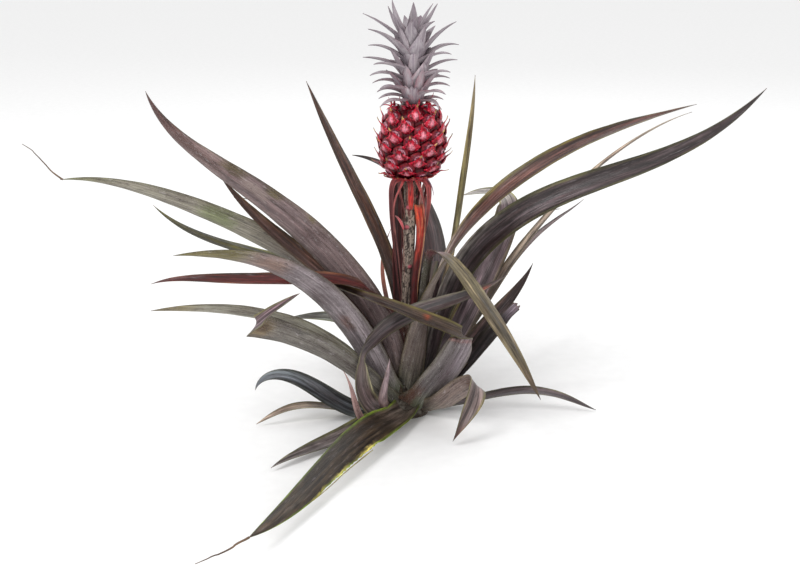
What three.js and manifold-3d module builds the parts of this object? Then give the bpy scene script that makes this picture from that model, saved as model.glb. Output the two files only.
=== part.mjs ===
// Ornamental pineapple plant: a short stout stem with a rosette of long channelled leaves, a bare stalk
// with five dry bracts, one small ripe fruit and its tuft of crown leaves.
// Millimetres, +Z up. The origin is on the flat cut under the stem, at ground level.
import * as THREE from "three";
import { mergeVertices } from "three/addons/utils/BufferGeometryUtils.js";
import Module from "manifold-3d";

const wasm = await Module();
wasm.setup();

// ---- driving sizes -------------------------------------------------------------------------------------
const GAP = 0.35; // clear air between neighbouring solids
const STEM_TOP = 72; // height of the short leafy stem
const STEM_RADII = [[0, 27], [6, 26.5], [12, 24], [22, 19], [36, 15], [56, 11.5], [72, 8]]; // a stout foot, then taper
const STEM_SIDES = 16;
const STALK_RADII = [[72.4, 6.4], [110, 5.7], [160, 6], [215, 6.4], [246, 7.2], [259.5, 8.5]];
const STALK_SIDES = 8;
// The stalk leans a little to one side as it rises, and the crown swings back: [height, x, y] of their middle line.
const AXIS = [[0, 0, 0], [60, 1, 0], [120, 2, 0], [190, 5, 0], [261, 7.5, 0], [300, 9, 0], [340, 9, 0], [440, 6, 0]];
const FRUIT_BASE = 260;
const FRUIT_TOP = 339;
// [height over the fruit's base, radius]
const FRUIT_OUTLINE = [[0, 11], [2.5, 19], [6, 25.5], [12, 30], [20, 33], [30, 34.5], [40, 34.8], [50, 33.6], [60, 31], [68, 27.5], [75, 21.5], [78, 15]];
const FRUIT_SIDES = 20;
const FRUIT_RINGS = 11;
const EYE_COUNT = 54; // eyes on the fruit, in one golden-angle spiral
const EYE_RISE = 1.47; // height gained from one eye to the next
const EYE_RELIEF = 2.2; // how far an eye stands out
const GOLDEN = 137.508;
const CROWN_CORE = [[0, 14], [8, 16], [25, 12.5], [45, 9], [65, 5.5], [85, 2.6], [92, 0.8]]; // solid heart of the crown: [height over the fruit, radius]
const CROWN_BACK = 9; // short crown leaves behind the listed ones, in a spiral
const BLADE_THICK = 1.5; // at the midrib of a full-width leaf
const LEAF_SEGMENTS = 8;
const SHORT_LEAF = 130; // leaves under this length take fewer segments

// Rosette leaves. A leaf is a channelled blade along a line that leaves foot (mm) with a pitch over the horizontal,
// read at five even steps along it, a compass heading (yaw), and a roll about its own line, at three.
// [name, foot, pitch x5, yaw x3, roll x3, length, width, taper, root share, end share, channel angle]
// A _tip has no foot of its own: it goes on from the end of its _base, on the far side of a sharp bend.
const LEAVES = [
  ["leaf_01", [-11.1, -10, 24.4], [95, 56.8, 43.3, 36.2, 69.5], [220.8, 212.6, 219], [18, 53.4, 33.2], 458.8, 38.3, 2.97, 0.8, 0, 18],
  ["leaf_02", [-14.4, -4.1, 23.9], [85.4, 51.4, 31.5, 22, -3.1], [195.5, 195.1, 187.9], [15.8, 62.5, 43.9], 451.3, 30.8, 3.13, 0.8, 0, 18],
  ["leaf_03", [-11.5, -8, 25.6], [92.2, 57.9, 43.7, 43.9, 57.8], [209.8, 196.8, 193.8], [-29.6, -43.9, -54.9], 314.4, 27.8, 3.11, 0.8, 0, 22],
  ["leaf_04", [-14.8, 6, 18.7], [86.5, 50.6, 18.5, 13.9, 39], [157.1, 165, 155], [-6.3, -19.6, -28.6], 368, 22.8, 2.8, 0.8, 0, 22],
  ["leaf_05", [-12, -13.4, 18.4], [58.6, 53.1, 37.7, 20.5, 4.1], [226.9, 229.6, 216.4], [18.1, 38.2, 48.7], 375.2, 35.1, 2.93, 0.8, 0, 18],
  ["leaf_06", [-9.9, -12.6, 17.5], [100, 60.6, 14.6, 5.6, -20.1], [241, 217.9, 170.7], [-10.1, -25.3, -43.1], 388.8, 26.2, 3.04, 0.8, 0, 22],
  ["leaf_07", [-17.4, -7.7, 12.6], [55.7, 43, 25.9, 11.3, 0.9], [202.7, 202.5, 200.8], [16.1, 43.9, 56.7], 301.3, 27.5, 3, 0.8, 0, 20],
  ["leaf_08_base", [-15.3, -15.8, 9], [54.5, 42.2, 35, 27.3, 23.1], [225.8, 223.3, 230.4], [20.4, 38.4, 64.9], 230.2, 32.7, 3.05, 0.9, 0.6, 18],
  ["leaf_08_tip", null, [37.6, 33.4, 30.8, 32.2, 32.3], [22.6, 15.9, 11.5], [13.9, 2.9, 4.5], 54.1, 18.7, 2.75, 0.9, 0, 20],
  ["leaf_09", [-16.7, 6.7, 12.5], [100, 70.4, 26.8, -1.8, -11.1], [155, 161.6, 154.9], [-13.6, -31.5, -39.4], 181.2, 21.7, 2.98, 0.8, 0, 22],
  ["leaf_10", [-23, -12.2, 3], [-5.8, 26.8, 36, 10.2, -77.3], [211.2, 184.1, 180.2], [-26, -49.9, -49], 160.4, 25, 2.8, 0.8, 0, 20],
  ["leaf_11", [-23.9, -1.7, 3.8], [-5.8, 9.7, 13.7, -9.6, -24], [190, 203.2, 195.3], [10.9, -11.8, -31.5], 146.5, 17.1, 2.86, 0.8, 0, 20],
  ["leaf_12", [-19.3, -17.4, 4.2], [-2.5, -0.5, 2.4, 2.3, -8.4], [238.7, 235.7, 229.6], [-9, -19.5, -2.1], 196, 26, 2.64, 0.8, 0, 20],
  ["leaf_13", [3.3, -18.7, 7.5], [4.5, 6.5, -2.4, -1.8, 9.3], [251.5, 248.6, 251.6], [-7, -54.6, -40.4], 389.8, 34.7, 2.93, 0.8, 0, 16],
  ["leaf_14", [3.6, -13.5, 22], [71.2, 70.6, 42.8, 18.8, 11.2], [-55.4, 4.8, 21.1], [-45.2, 19.5, 3.3], 494.1, 34.3, 2.71, 0.8, 0, 18],
  ["leaf_15", [13.2, -7, 18.4], [59, 66.4, 28.9, 21.5, 38.9], [-14.3, -8.5, 26.2], [29.5, 61.5, 25], 531.5, 34.3, 2.62, 0.8, 0, 18],
  ["leaf_16_base", [6.6, 12.4, 21.9], [26.9, 48.2, 61.4, 62.3, 85.6], [33, 32.2, 47.6], [1.5, 22.5, 41.9], 245, 40.9, 3.19, 0.8, 0.6, 20],
  ["leaf_16_tip", null, [6.3, 2.6, -5.4, -13.2, -13.6], [115.8, 130.1, 156.7], [-41.5, -24.3, -37.1], 74.4, 18, 2.75, 0.9, 0, 20],
  ["leaf_17", [-1.3, 11.9, 20.1], [25.9, 45.2, 52.2, 40.4, 10.5], [65.2, 95.8, 183.3], [23.4, 4.2, -15.4], 358, 39.4, 3.45, 0.8, 0, 22],
  ["leaf_18", [8.7, 9.7, 40.3], [46.8, 63.2, 73, 71.1, 68], [47.3, 57.3, 82], [-19, -25.5, 7], 344.9, 14.9, 2.88, 0.8, 0, 25],
  ["leaf_19", [11.5, 9.6, 19.2], [23.1, 52.1, 42.8, 28.4, 10], [30.4, 29.5, 28.9], [7.8, 3.7, 12.4], 481.3, 19.3, 2.67, 0.8, 0, 22],
  ["leaf_20", [9.2, 11.8, 16.8], [16.5, 27.7, 27.5, 15.3, 21.8], [50.4, 57.6, 47.2], [2.2, -6.9, 4.1], 417.4, 17.5, 2.6, 0.8, 0, 22],
  ["leaf_21", [19.6, 4.2, 11.9], [30.9, 48.8, 49.2, 50.6, 71.8], [11, 14.6, 6.9], [10.5, 32.3, 12.6], 194.8, 29.3, 2.9, 0.8, 0, 20],
  ["leaf_22", [22, 0, 9.7], [29, 44.4, 53.9, 53.3, 44.2], [0.2, 0.3, 4.6], [11.2, 20, 59.9], 151.2, 30.2, 3.8, 0.8, 0, 18],
  ["leaf_23", [20.7, 7.5, 3.5], [-7.4, 13, 10.9, -12.1, -19.8], [7.2, -6.6, -1.1], [-0.8, 12.3, 33], 195.7, 20.6, 2.89, 0.8, 0, 18],
  ["leaf_24", [-7.7, 9.2, 31.7], [100, 76.8, 55.5, 51.2, 49.6], [137.9, 135, 125.9], [18.2, -3.7, -5.6], 364.4, 24.3, 2.7, 0.8, 0, 22],
  ["leaf_25_base", [13.5, -17.3, 4.6], [59, 49.5, 48.1, 55.5, 57.8], [306.5, 310, 309.5], [-12.5, -31.2, -15], 130.8, 38, 3.02, 1, 0.88, 16],
  ["leaf_25_tip", null, [24.2, 21.2, 20.4, 18.6, 21.3], [179, 174.9, 173.7], [-21.5, -12.1, 5.5], 180.4, 25.9, 2.47, 0.9, 0, 20],
  ["leaf_26_base", [-18.4, -18.4, 5.8], [8, 32.5, 58.5, 87.9, 100], [237.9, 232.4, 197.1], [-19.4, -92.6, -41.4], 106.2, 27.2, 2.82, 0.9, 0.45, 20],
  ["leaf_26_tip", null, [49.7, 33.6, 17.8, 21.7, 38.4], [3.6, 3.5, 0.6], [35.2, 39.8, 13.3], 175.2, 23.9, 2.53, 0.6, 0, 20],
  ["leaf_27_base", [11.5, 1.5, 56], [62.5, 67.5, 71.5, 75.5, 78.5], [284.6, 290.6, 296.6], [2, 5, 6], 140.2, 13.2, 2.6, 0.9, 0.8, 25],
  ["leaf_27_tip", null, [26.4, -26.9, -37.4, -47.8, -53], [298.2, 309.1, 326.7], [-23.5, 12, 35.2], 216.9, 20, 3.32, 0.6, 0, 22],
  ["leaf_28_base", [21.6, -14.5, 4.5], [22.2, 33.2, 38.5, 34.3, 28.7], [309.8, 309.2, 313.4], [-30.1, -37.7, -55.4], 99.9, 30.2, 2.62, 1, 0.62, 16],
  ["leaf_28_tip", null, [-48.6, -50.7, -54.1, -56.2, -54.8], [262, 226.3, 192.9], [-61.1, -43.8, -7.8], 67.3, 28.4, 1.1, 0.9, 0, 20],
  ["leaf_29", [-11.3, 6.5, 29.4], [100, 79, 50.5, 36.9, 34.6], [153.6, 108.4, 66], [8.2, 10.4, 4.6], 195.7, 7, 2.67, 0.9, 0, 22],
  ["leaf_30", [10.8, 1.9, 60.1], [74.7, 81.1, 84.8, 85.8, 87.1], [11.6, 24.6, 43], [4.1, 17.3, 29.4], 119, 17.3, 2.9, 0.9, 0.2, 25],
  ["leaf_31", [-18.6, -16.7, 10.7], [-28.6, 1.9, 55.1, 73.3, 65.3], [232.6, 236.6, 197], [9.6, 24.5, 17.9], 122.2, 10.9, 2.71, 0.9, 0, 25],
  ["leaf_32", [-14.8, -18.9, 6.3], [21.8, 54.4, 68.8, 77, 85], [219.7, 294.4, 305.6], [33.9, 16.4, 0.2], 80.5, 13.8, 2.48, 0.9, 0, 25],
  ["leaf_33", [11.4, 12.6, 19.7], [64.5, 54.1, 35.3, 12.4, -5], [47.7, 42.9, 55.1], [0, 33.2, -37.6], 328.8, 26.2, 2.7, 0.8, 0, 20],
  ["leaf_34", [7.8, 15.1, 6.2], [38.5, 26.5, 4.9, -21.5, -41.5], [62.8, 77.7, 42.5], [0, -1.8, -9.4], 359.9, 22, 2.7, 0.8, 0, 20],
  ["leaf_35", [3.3, 16.7, 15.5], [36.1, 23.5, 0.9, -26.7, -47.7], [78.7, 86.5, 119.5], [0, 14.5, 22.8], 287.8, 31.1, 2.7, 0.8, 0, 20],
  ["leaf_36", [2.7, 16.8, 9.7], [65.5, 50.4, 23.3, -9.8, -35], [81, 78.4, 105], [0, 21.7, 10.5], 341.8, 27.8, 2.7, 0.8, 0, 20],
  ["leaf_37", [-4.5, 16.4, 15.5], [41.7, 27.4, 1.5, -30.1, -54], [105.2, 106, 105.2], [0, -2.9, 18.3], 266.3, 28.4, 2.7, 0.8, 0, 20],
  ["leaf_38", [-8.6, 14.7, 4.8], [47.7, 36.8, 17.2, -6.8, -25], [120.5, 119.4, 124.8], [0, 20.2, 51.6], 323.5, 22.8, 2.7, 0.8, 0, 20],
  ["leaf_39", [-11.4, 12.6, 21.5], [66.6, 55.7, 36.2, 12.3, -5.7], [132.3, 137.2, 134.8], [0, -6.2, 10.3], 346.9, 26.1, 2.7, 0.8, 0, 20],
  ["leaf_40", [-16.3, 4.8, 18.8], [68.6, 57.8, 38.4, 14.6, -3.4], [163.6, 155, 153], [0, -9.1, 5.5], 264.8, 30.4, 2.7, 0.8, 0, 20],
];
// Two leaves end in a dry thread that reaches this point.
const THREADS = {
  leaf_02: [-376, -92.8, 311.1],
  leaf_13: [-176.9, -388.7, 3],
};
const THREAD_RADIUS = 0.9;

// Dry bracts on the stalk: [name, foot, heading of the back of the blade, length, width, pitch at the foot, pitch at the tip]
const BRACTS = [
  ["bract_left", [-6.2, 4.2, 108], 78, 148, 12.5, 91, 90],
  ["bract_right", [9.6, -6.3, 106], -40, 127, 11.5, 87, 86],
  ["bract_outer", [14.5, -1.5, 186], -6, 71, 9, 86, 82],
  ["bract_front", [7, -9.8, 228], -92, 29, 7, 88, 88],
  ["bract_back", [3, 10.2, 150], 96, 106, 12, 88, 87],
];

// Crown leaves: [height of the foot over the fruit, heading, pitch at the foot, pitch at the tip, length, width]
const CROWN = [
  [54.9, 205, 54, 90, 54, 13],
  [56.4, 150, 46, 75, 48, 9],
  [54.8, 192, 46, 25, 60, 11],
  [39.8, 212, 54, 15, 60, 13],
  [37.2, 178, 50, -5, 46, 10],
  [33.4, 195, 26, 5, 48, 10],
  [29.8, 222, 30, -5, 48, 10],
  [21.2, 200, 34, -20, 40, 10],
  [13.4, 176, 38, -30, 34, 9],
  [10.6, 228, 26, -10, 42, 9],
  [6.7, 196, 38, -30, 30, 9],
  [5, 210, 22, -25, 30, 8],
  [0.3, 236, 18, -20, 48, 8],
  [60.2, 80, 90, 95, 41, 8],
  [58.2, 60, 90, 95, 42, 11],
  [47.3, 262, 54, 80, 40, 16],
  [43.3, 288, 38, 95, 32, 14],
  [62, 350, 70, 60, 42, 12],
  [62, 20, 54, 65, 44, 10],
  [59.2, 318, 58, 25, 36, 12],
  [40.6, 345, 58, 30, 58, 12],
  [35, 12, 54, -10, 50, 11],
  [36.8, 330, 42, -10, 42, 10],
  [26, 355, 42, 0, 42, 10],
  [22.7, 318, 30, -5, 44, 10],
  [18.2, 20, 30, -20, 32, 9],
  [11.8, 345, 34, -20, 30, 9],
  [6.5, 310, 26, -15, 40, 9],
  [1.1, 0, 26, -25, 22, 8],
  [-1, 322, 30, -60, 28, 8],
  [25.1, 272, 82, 95, 24, 14],
  [13.7, 236, 66, 85, 24, 13],
  [16.7, 304, 42, 95, 28, 14],
  [9.9, 276, 66, 80, 18, 11],
  [2.6, 246, 38, 80, 18, 10],
  [-0.6, 290, 90, 95, 12, 10],
];

// ---- geometry ------------------------------------------------------------------------------------------
const rad = THREE.MathUtils.degToRad;
const up = new THREE.Vector3(0, 0, 1);

// A table of [x, y...] rows read at x.
function read(table, x, column = 1) {
  if (x <= table[0][0]) return table[0][column];
  for (let i = 1; i < table.length; i++)
    if (x <= table[i][0]) {
      const t = (x - table[i - 1][0]) / (table[i][0] - table[i - 1][0]);
      return table[i - 1][column] + t * (table[i][column] - table[i - 1][column]);
    }
  return table[table.length - 1][column];
}
const axisX = (() => {
  const curve = new THREE.CatmullRomCurve3(AXIS.map(([z, x, y]) => new THREE.Vector3(x, y, z)), false, "centripetal");
  const points = curve.getPoints(200);
  return (z) => read(points.map((p) => [p.z, p.x]), z);
})();

// The value at s (0..1) of the polynomial through evenly spaced knots.
function through(knots, s) {
  let sum = 0;
  const n = knots.length;
  for (let i = 0; i < n; i++) {
    let term = knots[i];
    for (let j = 0; j < n; j++) if (j !== i) term *= (s - j / (n - 1)) / ((i - j) / (n - 1));
    sum += term;
  }
  return sum;
}

// A closed body from rings of points; a last ring of one point closes to a tip. On a thin twisted blade the two
// faces must be split along the same diagonals, from margin to keel: `keels` lists the corners that lie on the keel.
function loft(rings, keels = []) {
  const points = rings.flat();
  const index = [];
  const n = rings[0].length;
  for (let r = 0; r + 1 < rings.length; r++) {
    const a = r * n;
    const b = (r + 1) * n;
    const tip = rings[r + 1].length === 1;
    for (let k = 0; k < n; k++) {
      const k1 = (k + 1) % n;
      if (tip) index.push(a + k, a + k1, b);
      else if (keels.includes(k)) index.push(a + k, a + k1, b + k, a + k1, b + k1, b + k);
      else index.push(a + k, a + k1, b + k1, a + k, b + k1, b + k);
    }
  }
  // The caps fan out from the second point, which on a channelled blade is the bottom of the channel.
  const cap = (start, flip) => {
    for (let k = 2; k < n; k++) {
      const [a, b, c] = [start + 1, start + k, start + ((k + 1) % n)];
      flip ? index.push(a, c, b) : index.push(a, b, c);
    }
  };
  cap(0, true);
  if (rings[rings.length - 1].length > 1) cap((rings.length - 1) * n, false);
  const geometry = new THREE.BufferGeometry().setFromPoints(points);
  geometry.setIndex(index);
  return geometry;
}

function toSolid(geometry) {
  const bare = new THREE.BufferGeometry().setAttribute("position", geometry.getAttribute("position"));
  bare.setIndex(geometry.getIndex());
  const merged = mergeVertices(bare, 1e-4);
  return new wasm.Manifold(
    new wasm.Mesh({ numProp: 3, vertProperties: merged.attributes.position.array, triVerts: new Uint32Array(merged.index.array) }),
  );
}

function toGeometry(solid) {
  const mesh = solid.getMesh();
  const position = new Float32Array(mesh.numVert * 3);
  for (let i = 0; i < mesh.numVert; i++) for (let k = 0; k < 3; k++) position[3 * i + k] = mesh.vertProperties[i * mesh.numProp + k];
  const geometry = new THREE.BufferGeometry();
  geometry.setAttribute("position", new THREE.BufferAttribute(position, 3));
  geometry.setIndex(new THREE.BufferAttribute(new Uint32Array(mesh.triVerts), 1));
  const flat = geometry.toNonIndexed();
  flat.computeVertexNormals();
  return flat;
}

// Half-width share along a blade: it widens out of the root, then narrows to its tip.
function share(s, taper, root, end) {
  const rise = root + (1 - root) * Math.sin((Math.min(s / 0.3, 1) * Math.PI) / 2);
  return rise * (end + (1 - end) * Math.max(1 - s ** taper, 0) ** 0.9);
}

// The middle line of a blade: point, direction, side and upper normal at each even step.
function midrib(foot, pitch, yaw, roll, length, steps) {
  const fine = 8;
  const line = [];
  const point = foot.clone();
  const heading = (s) => {
    const p = rad(through(pitch, s));
    const y = rad(through(yaw, s));
    return new THREE.Vector3(Math.cos(p) * Math.cos(y), Math.cos(p) * Math.sin(y), Math.sin(p));
  };
  for (let i = 0; i <= steps; i++) {
    const s = i / steps;
    const direction = heading(s);
    const y = rad(through(yaw, s));
    const side0 = new THREE.Vector3(-Math.sin(y), Math.cos(y), 0);
    const normal0 = direction.clone().cross(side0);
    const r = rad(through(roll, s));
    const side = side0.clone().multiplyScalar(Math.cos(r)).addScaledVector(normal0, Math.sin(r));
    const normal = normal0.clone().multiplyScalar(Math.cos(r)).addScaledVector(side0, -Math.sin(r));
    line.push({ s, point: point.clone(), direction, side, normal });
    if (i < steps)
      for (let k = 0; k < fine; k++) point.addScaledVector(heading((i + (k + 0.5) / fine) / steps), length / steps / fine);
  }
  return line;
}

// A channelled blade: four corners to a section, the two margins lifted above the keel.
function blade({ foot, pitch, yaw, roll, length, width, taper, root, end, fold }, grow = 0) {
  const steps = length < SHORT_LEAF ? 6 : LEAF_SEGMENTS;
  const line = midrib(foot, pitch, yaw, roll, length, steps);
  const thickness = BLADE_THICK * Math.min(1, 0.45 + width / 60);
  const rings = line.map(({ s, point, direction, side, normal }, i) => {
    if (i === steps && end === 0) return [point.clone().addScaledVector(direction, grow)];
    const half = (width / 2) * share(s, taper, root, end) + grow;
    const body = thickness * (0.35 + 0.65 * share(s, taper, root, end)) / 2 + grow;
    const lift = half * Math.sin(rad(fold));
    const reach = half * Math.cos(rad(fold));
    const middle = point.clone();
    if (grow && i === 0) middle.addScaledVector(direction, -grow);
    if (grow && i === steps) middle.addScaledVector(direction, grow);
    const rim = grow ? grow * 0.9 : 0; // a grown blade is blunt at its margins, so that it clears them too
    const corner = (a, n) => middle.clone().addScaledVector(side, a).addScaledVector(normal, n);
    if (!grow) return [corner(reach, lift), corner(0, body), corner(-reach, lift), corner(0, -body)];
    return [corner(reach, lift + rim), corner(0, body), corner(-reach, lift + rim), corner(-reach, lift - rim), corner(0, -body), corner(reach, lift - rim)];
  });
  return { solid: toSolid(loft(rings, grow ? [1, 4] : [1, 3])), line };
}

// ---- stem, stalk, fruit and crown ----------------------------------------------------------------------
function round(radii, sides, grow = 0) {
  const rings = radii.map(([z, r]) => {
    const ring = [];
    for (let k = 0; k < sides; k++) {
      const a = (2 * Math.PI * k) / sides;
      ring.push(new THREE.Vector3(axisX(z) + (r + grow) * Math.cos(a), (r + grow) * Math.sin(a), z));
    }
    return ring;
  });
  return toSolid(loft(rings));
}
const stepped = (radii, count) => {
  const z0 = radii[0][0];
  const z1 = radii[radii.length - 1][0];
  return Array.from({ length: count + 1 }, (_, i) => {
    const z = z0 + ((z1 - z0) * i) / count;
    return [z, read(radii, z)];
  });
};

function fruit(grow = 0) {
  const middle = (FRUIT_BASE + FRUIT_TOP) / 2;
  const eyes = Array.from({ length: EYE_COUNT }, (_, i) => [FRUIT_BASE + (i + 0.5) * EYE_RISE, rad(i * GOLDEN)]);
  const rings = [];
  for (let i = 0; i <= FRUIT_RINGS; i++) {
    const z = FRUIT_BASE + ((FRUIT_TOP - 0.4 - FRUIT_BASE) * i) / FRUIT_RINGS;
    const base = read(FRUIT_OUTLINE, z - FRUIT_BASE);
    const ring = [];
    for (let k = 0; k < FRUIT_SIDES; k++) {
      const a = (2 * Math.PI * (k + (i % 2) / 2)) / FRUIT_SIDES;
      let near = 0;
      for (const [ez, ea] of eyes) {
        const across = Math.atan2(Math.sin(a - ea), Math.cos(a - ea)) * base;
        near = Math.max(near, Math.exp(-(across ** 2 + (z - ez) ** 2) / 45));
      }
      const r = base + EYE_RELIEF * (near - 0.5) * Math.min(1, base / 30) + grow;
      ring.push(new THREE.Vector3(axisX(middle) + r * Math.cos(a), r * Math.sin(a), z));
    }
    rings.push(ring);
  }
  if (grow) {
    rings[0].forEach((p) => (p.z -= grow));
    rings[FRUIT_RINGS].forEach((p) => (p.z += grow));
  }
  return toSolid(loft(rings));
}

// One crown leaf: a three-cornered blade in an upright plane, whose pitch runs from the foot's to the tip's.
function crownLeaf(height, heading, pitch0, pitch1, length, width) {
  const y = rad(heading);
  const out = new THREE.Vector3(Math.cos(y), Math.sin(y), 0);
  const side = new THREE.Vector3(-Math.sin(y), Math.cos(y), 0);
  const inside = read(CROWN_CORE, height) * 0.45;
  const point = new THREE.Vector3(axisX(FRUIT_TOP), 0, FRUIT_TOP + height).addScaledVector(out, inside);
  const rings = [];
  const steps = length < 42 ? 3 : 4;
  for (let i = 0; i <= steps; i++) {
    const s = i / steps;
    const pitch = rad(pitch0 + (pitch1 - pitch0) * s ** 1.5);
    const direction = out.clone().multiplyScalar(Math.cos(pitch)).addScaledVector(up, Math.sin(pitch));
    const normal = direction.clone().cross(side);
    if (i === steps) {
      rings.push([point.clone()]);
      break;
    }
    const half = (width / 2) * (1 - s ** 1.6) ** 0.8;
    rings.push([
      point.clone().addScaledVector(side, half).addScaledVector(normal, half * 0.35),
      point.clone().addScaledVector(side, -half).addScaledVector(normal, half * 0.35),
      point.clone().addScaledVector(normal, -0.9 - half * 0.12),
    ]);
    const next = rad(pitch0 + (pitch1 - pitch0) * (s + 0.5 / steps) ** 1.5);
    const reach = (length + read(CROWN_CORE, height) * 0.3) / steps;
    point.addScaledVector(out, Math.cos(next) * reach).addScaledVector(up, Math.sin(next) * reach);
  }
  return toSolid(loft(rings));
}

function crown() {
  const core = round(CROWN_CORE.map(([z, r]) => [FRUIT_TOP + z, r]), 8);
  const all = [core, ...CROWN.map((row) => crownLeaf(...row))];
  for (let i = 0; i < CROWN_BACK; i++) {
    const t = i / (CROWN_BACK - 1);
    all.push(crownLeaf(3 + 46 * t, 90 + 46 * Math.sin(i * rad(GOLDEN)), 30 + 28 * t, -25 + 70 * t, 27 + 19 * t, 10 + 2 * t));
  }
  const joined = wasm.Manifold.union(all);
  // Nothing of the crown goes below the fruit's top.
  const shelf = toSolid(loft([0, 1].map((k) => [[-90, -90], [90, -90], [90, 90], [-90, 90]].map(([x, y]) => new THREE.Vector3(x, y, FRUIT_TOP + 120 * k)))));
  return joined.intersect(shelf);
}

// ---- assembly ------------------------------------------------------------------------------------------
const finish = {
  stem: [0x5a4a3c, 0.85],
  stalk: [0x9c8c7c, 0.8],
  fruit: [0xa01f36, 0.5],
  crown: [0x918b8e, 0.75],
  bract: [0xa84a3a, 0.7],
  leaf: [0x4a3c3e, 0.45],
};
const plant = new THREE.Group();
const clearance = []; // grown copies of what is already placed
function place(name, kind, solid, grown) {
  const [colour, roughness] = finish[kind];
  const box = solid.boundingBox();
  let body = solid;
  for (const other of clearance) {
    const b = other.box;
    if ([0, 1, 2].some((k) => b.max[k] < box.min[k] || b.min[k] > box.max[k])) continue;
    body = body.subtract(other.grown);
  }
  // What a neighbour cuts off is dropped: a part is one body.
  const pieces = body.decompose().sort((a, b) => b.volume() - a.volume());
  const mesh = new THREE.Mesh(toGeometry(pieces[0]), new THREE.MeshStandardMaterial({ color: colour, roughness, metalness: 0 }));
  mesh.name = name;
  mesh.userData.kept = pieces[0].volume() / solid.volume();
  plant.add(mesh);
  clearance.push({ grown, box: grown.boundingBox() });
}

place("stem", "stem", round(stepped(STEM_RADII, 7), STEM_SIDES), round(stepped([[-GAP, STEM_RADII[0][1]], ...STEM_RADII.slice(1, -1), [STEM_TOP + 0.05, 8]], 7), STEM_SIDES, GAP));
place("stalk", "stalk", round(stepped(STALK_RADII, 8), STALK_SIDES), round(stepped([[72.1, 6.4], ...STALK_RADII.slice(1, -1), [259.8, 8.5]], 8), STALK_SIDES, GAP));
place("fruit", "fruit", fruit(), fruit(GAP));
const tuft = crown();
place("crown", "crown", tuft, tuft);

for (const [name, foot, heading, length, width, pitch0, pitch1] of BRACTS) {
  const pitch = [0, 1, 2, 3, 4].map((i) => pitch0 + ((pitch1 - pitch0) * i) / 4);
  const shape = { foot: new THREE.Vector3(...foot), pitch, yaw: [heading, heading, heading], roll: [0, 0, 0], length, width, taper: 4, root: 0.7, end: 0, fold: 34 };
  place(name, "bract", blade(shape).solid, blade(shape, GAP).solid);
}

// Small leaves are placed first, so that where two blades meet the larger one gives way.
const ends = {};
const leaves = LEAVES.map(([name, foot, pitch, yaw, roll, length, width, taper, root, end, fold]) => {
  const whole = name.replace(/_(base|tip)$/, "");
  const shape = { foot: foot ? new THREE.Vector3(...foot) : ends[whole], pitch, yaw, roll, length, width, taper, root, end, fold };
  const made = blade(shape);
  if (name.endsWith("_base")) ends[whole] = made.line[made.line.length - 1].point.clone();
  return { name, shape, ...made };
}).sort((a, b) => a.shape.length * a.shape.width - b.shape.length * b.shape.width);
for (const { name, shape, solid, line } of leaves) {
  let whole = solid;
  let grown = blade(shape, GAP).solid;
  if (THREADS[name]) {
    const from = line[line.length - 1].point.clone().lerp(line[line.length - 2].point, 0.3);
    const to = new THREE.Vector3(...THREADS[name]);
    const along = to.clone().sub(from).normalize();
    const u = new THREE.Vector3(0, 0, 1).cross(along).normalize();
    const v = along.clone().cross(u);
    const spike = (g) =>
      toSolid(loft([0, 0.5, 1].map((t) => {
        if (t === 1) return [to.clone().addScaledVector(along, g)];
        const r = THREAD_RADIUS * (1 - 0.45 * t) + g;
        return [0, 1, 2, 3, 4].map((k) => from.clone().lerp(to, t).addScaledVector(u, r * Math.cos((2 * Math.PI * k) / 5)).addScaledVector(v, r * Math.sin((2 * Math.PI * k) / 5)));
      })));
    whole = whole.add(spike(0));
    grown = grown.add(spike(GAP));
  }
  place(name, "leaf", whole, grown);
}

export default plant;
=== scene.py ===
# Visual model of an ornamental pineapple plant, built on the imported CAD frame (metres, +Z up).
import math

import bpy
import numpy as np
from mathutils import Matrix, Quaternion, Vector


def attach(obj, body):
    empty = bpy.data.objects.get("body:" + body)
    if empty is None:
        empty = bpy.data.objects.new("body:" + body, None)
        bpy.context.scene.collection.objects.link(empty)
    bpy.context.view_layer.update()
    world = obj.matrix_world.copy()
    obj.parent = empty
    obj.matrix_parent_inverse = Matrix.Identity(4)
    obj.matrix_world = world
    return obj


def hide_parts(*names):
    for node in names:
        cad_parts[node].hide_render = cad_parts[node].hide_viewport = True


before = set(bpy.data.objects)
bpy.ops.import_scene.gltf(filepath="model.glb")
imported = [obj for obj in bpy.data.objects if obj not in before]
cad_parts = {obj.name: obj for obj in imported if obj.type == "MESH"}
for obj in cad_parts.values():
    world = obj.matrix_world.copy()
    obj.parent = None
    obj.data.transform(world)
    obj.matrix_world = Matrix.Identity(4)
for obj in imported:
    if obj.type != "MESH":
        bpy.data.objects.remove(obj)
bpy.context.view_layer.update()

MM = 0.001


def linear(*rgb):
    """A 0-255 screen colour as linear light."""
    c = np.array(rgb, float) / 255.0
    return np.where(c <= 0.04045, c / 12.92, ((c + 0.055) / 1.055) ** 2.4)


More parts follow.
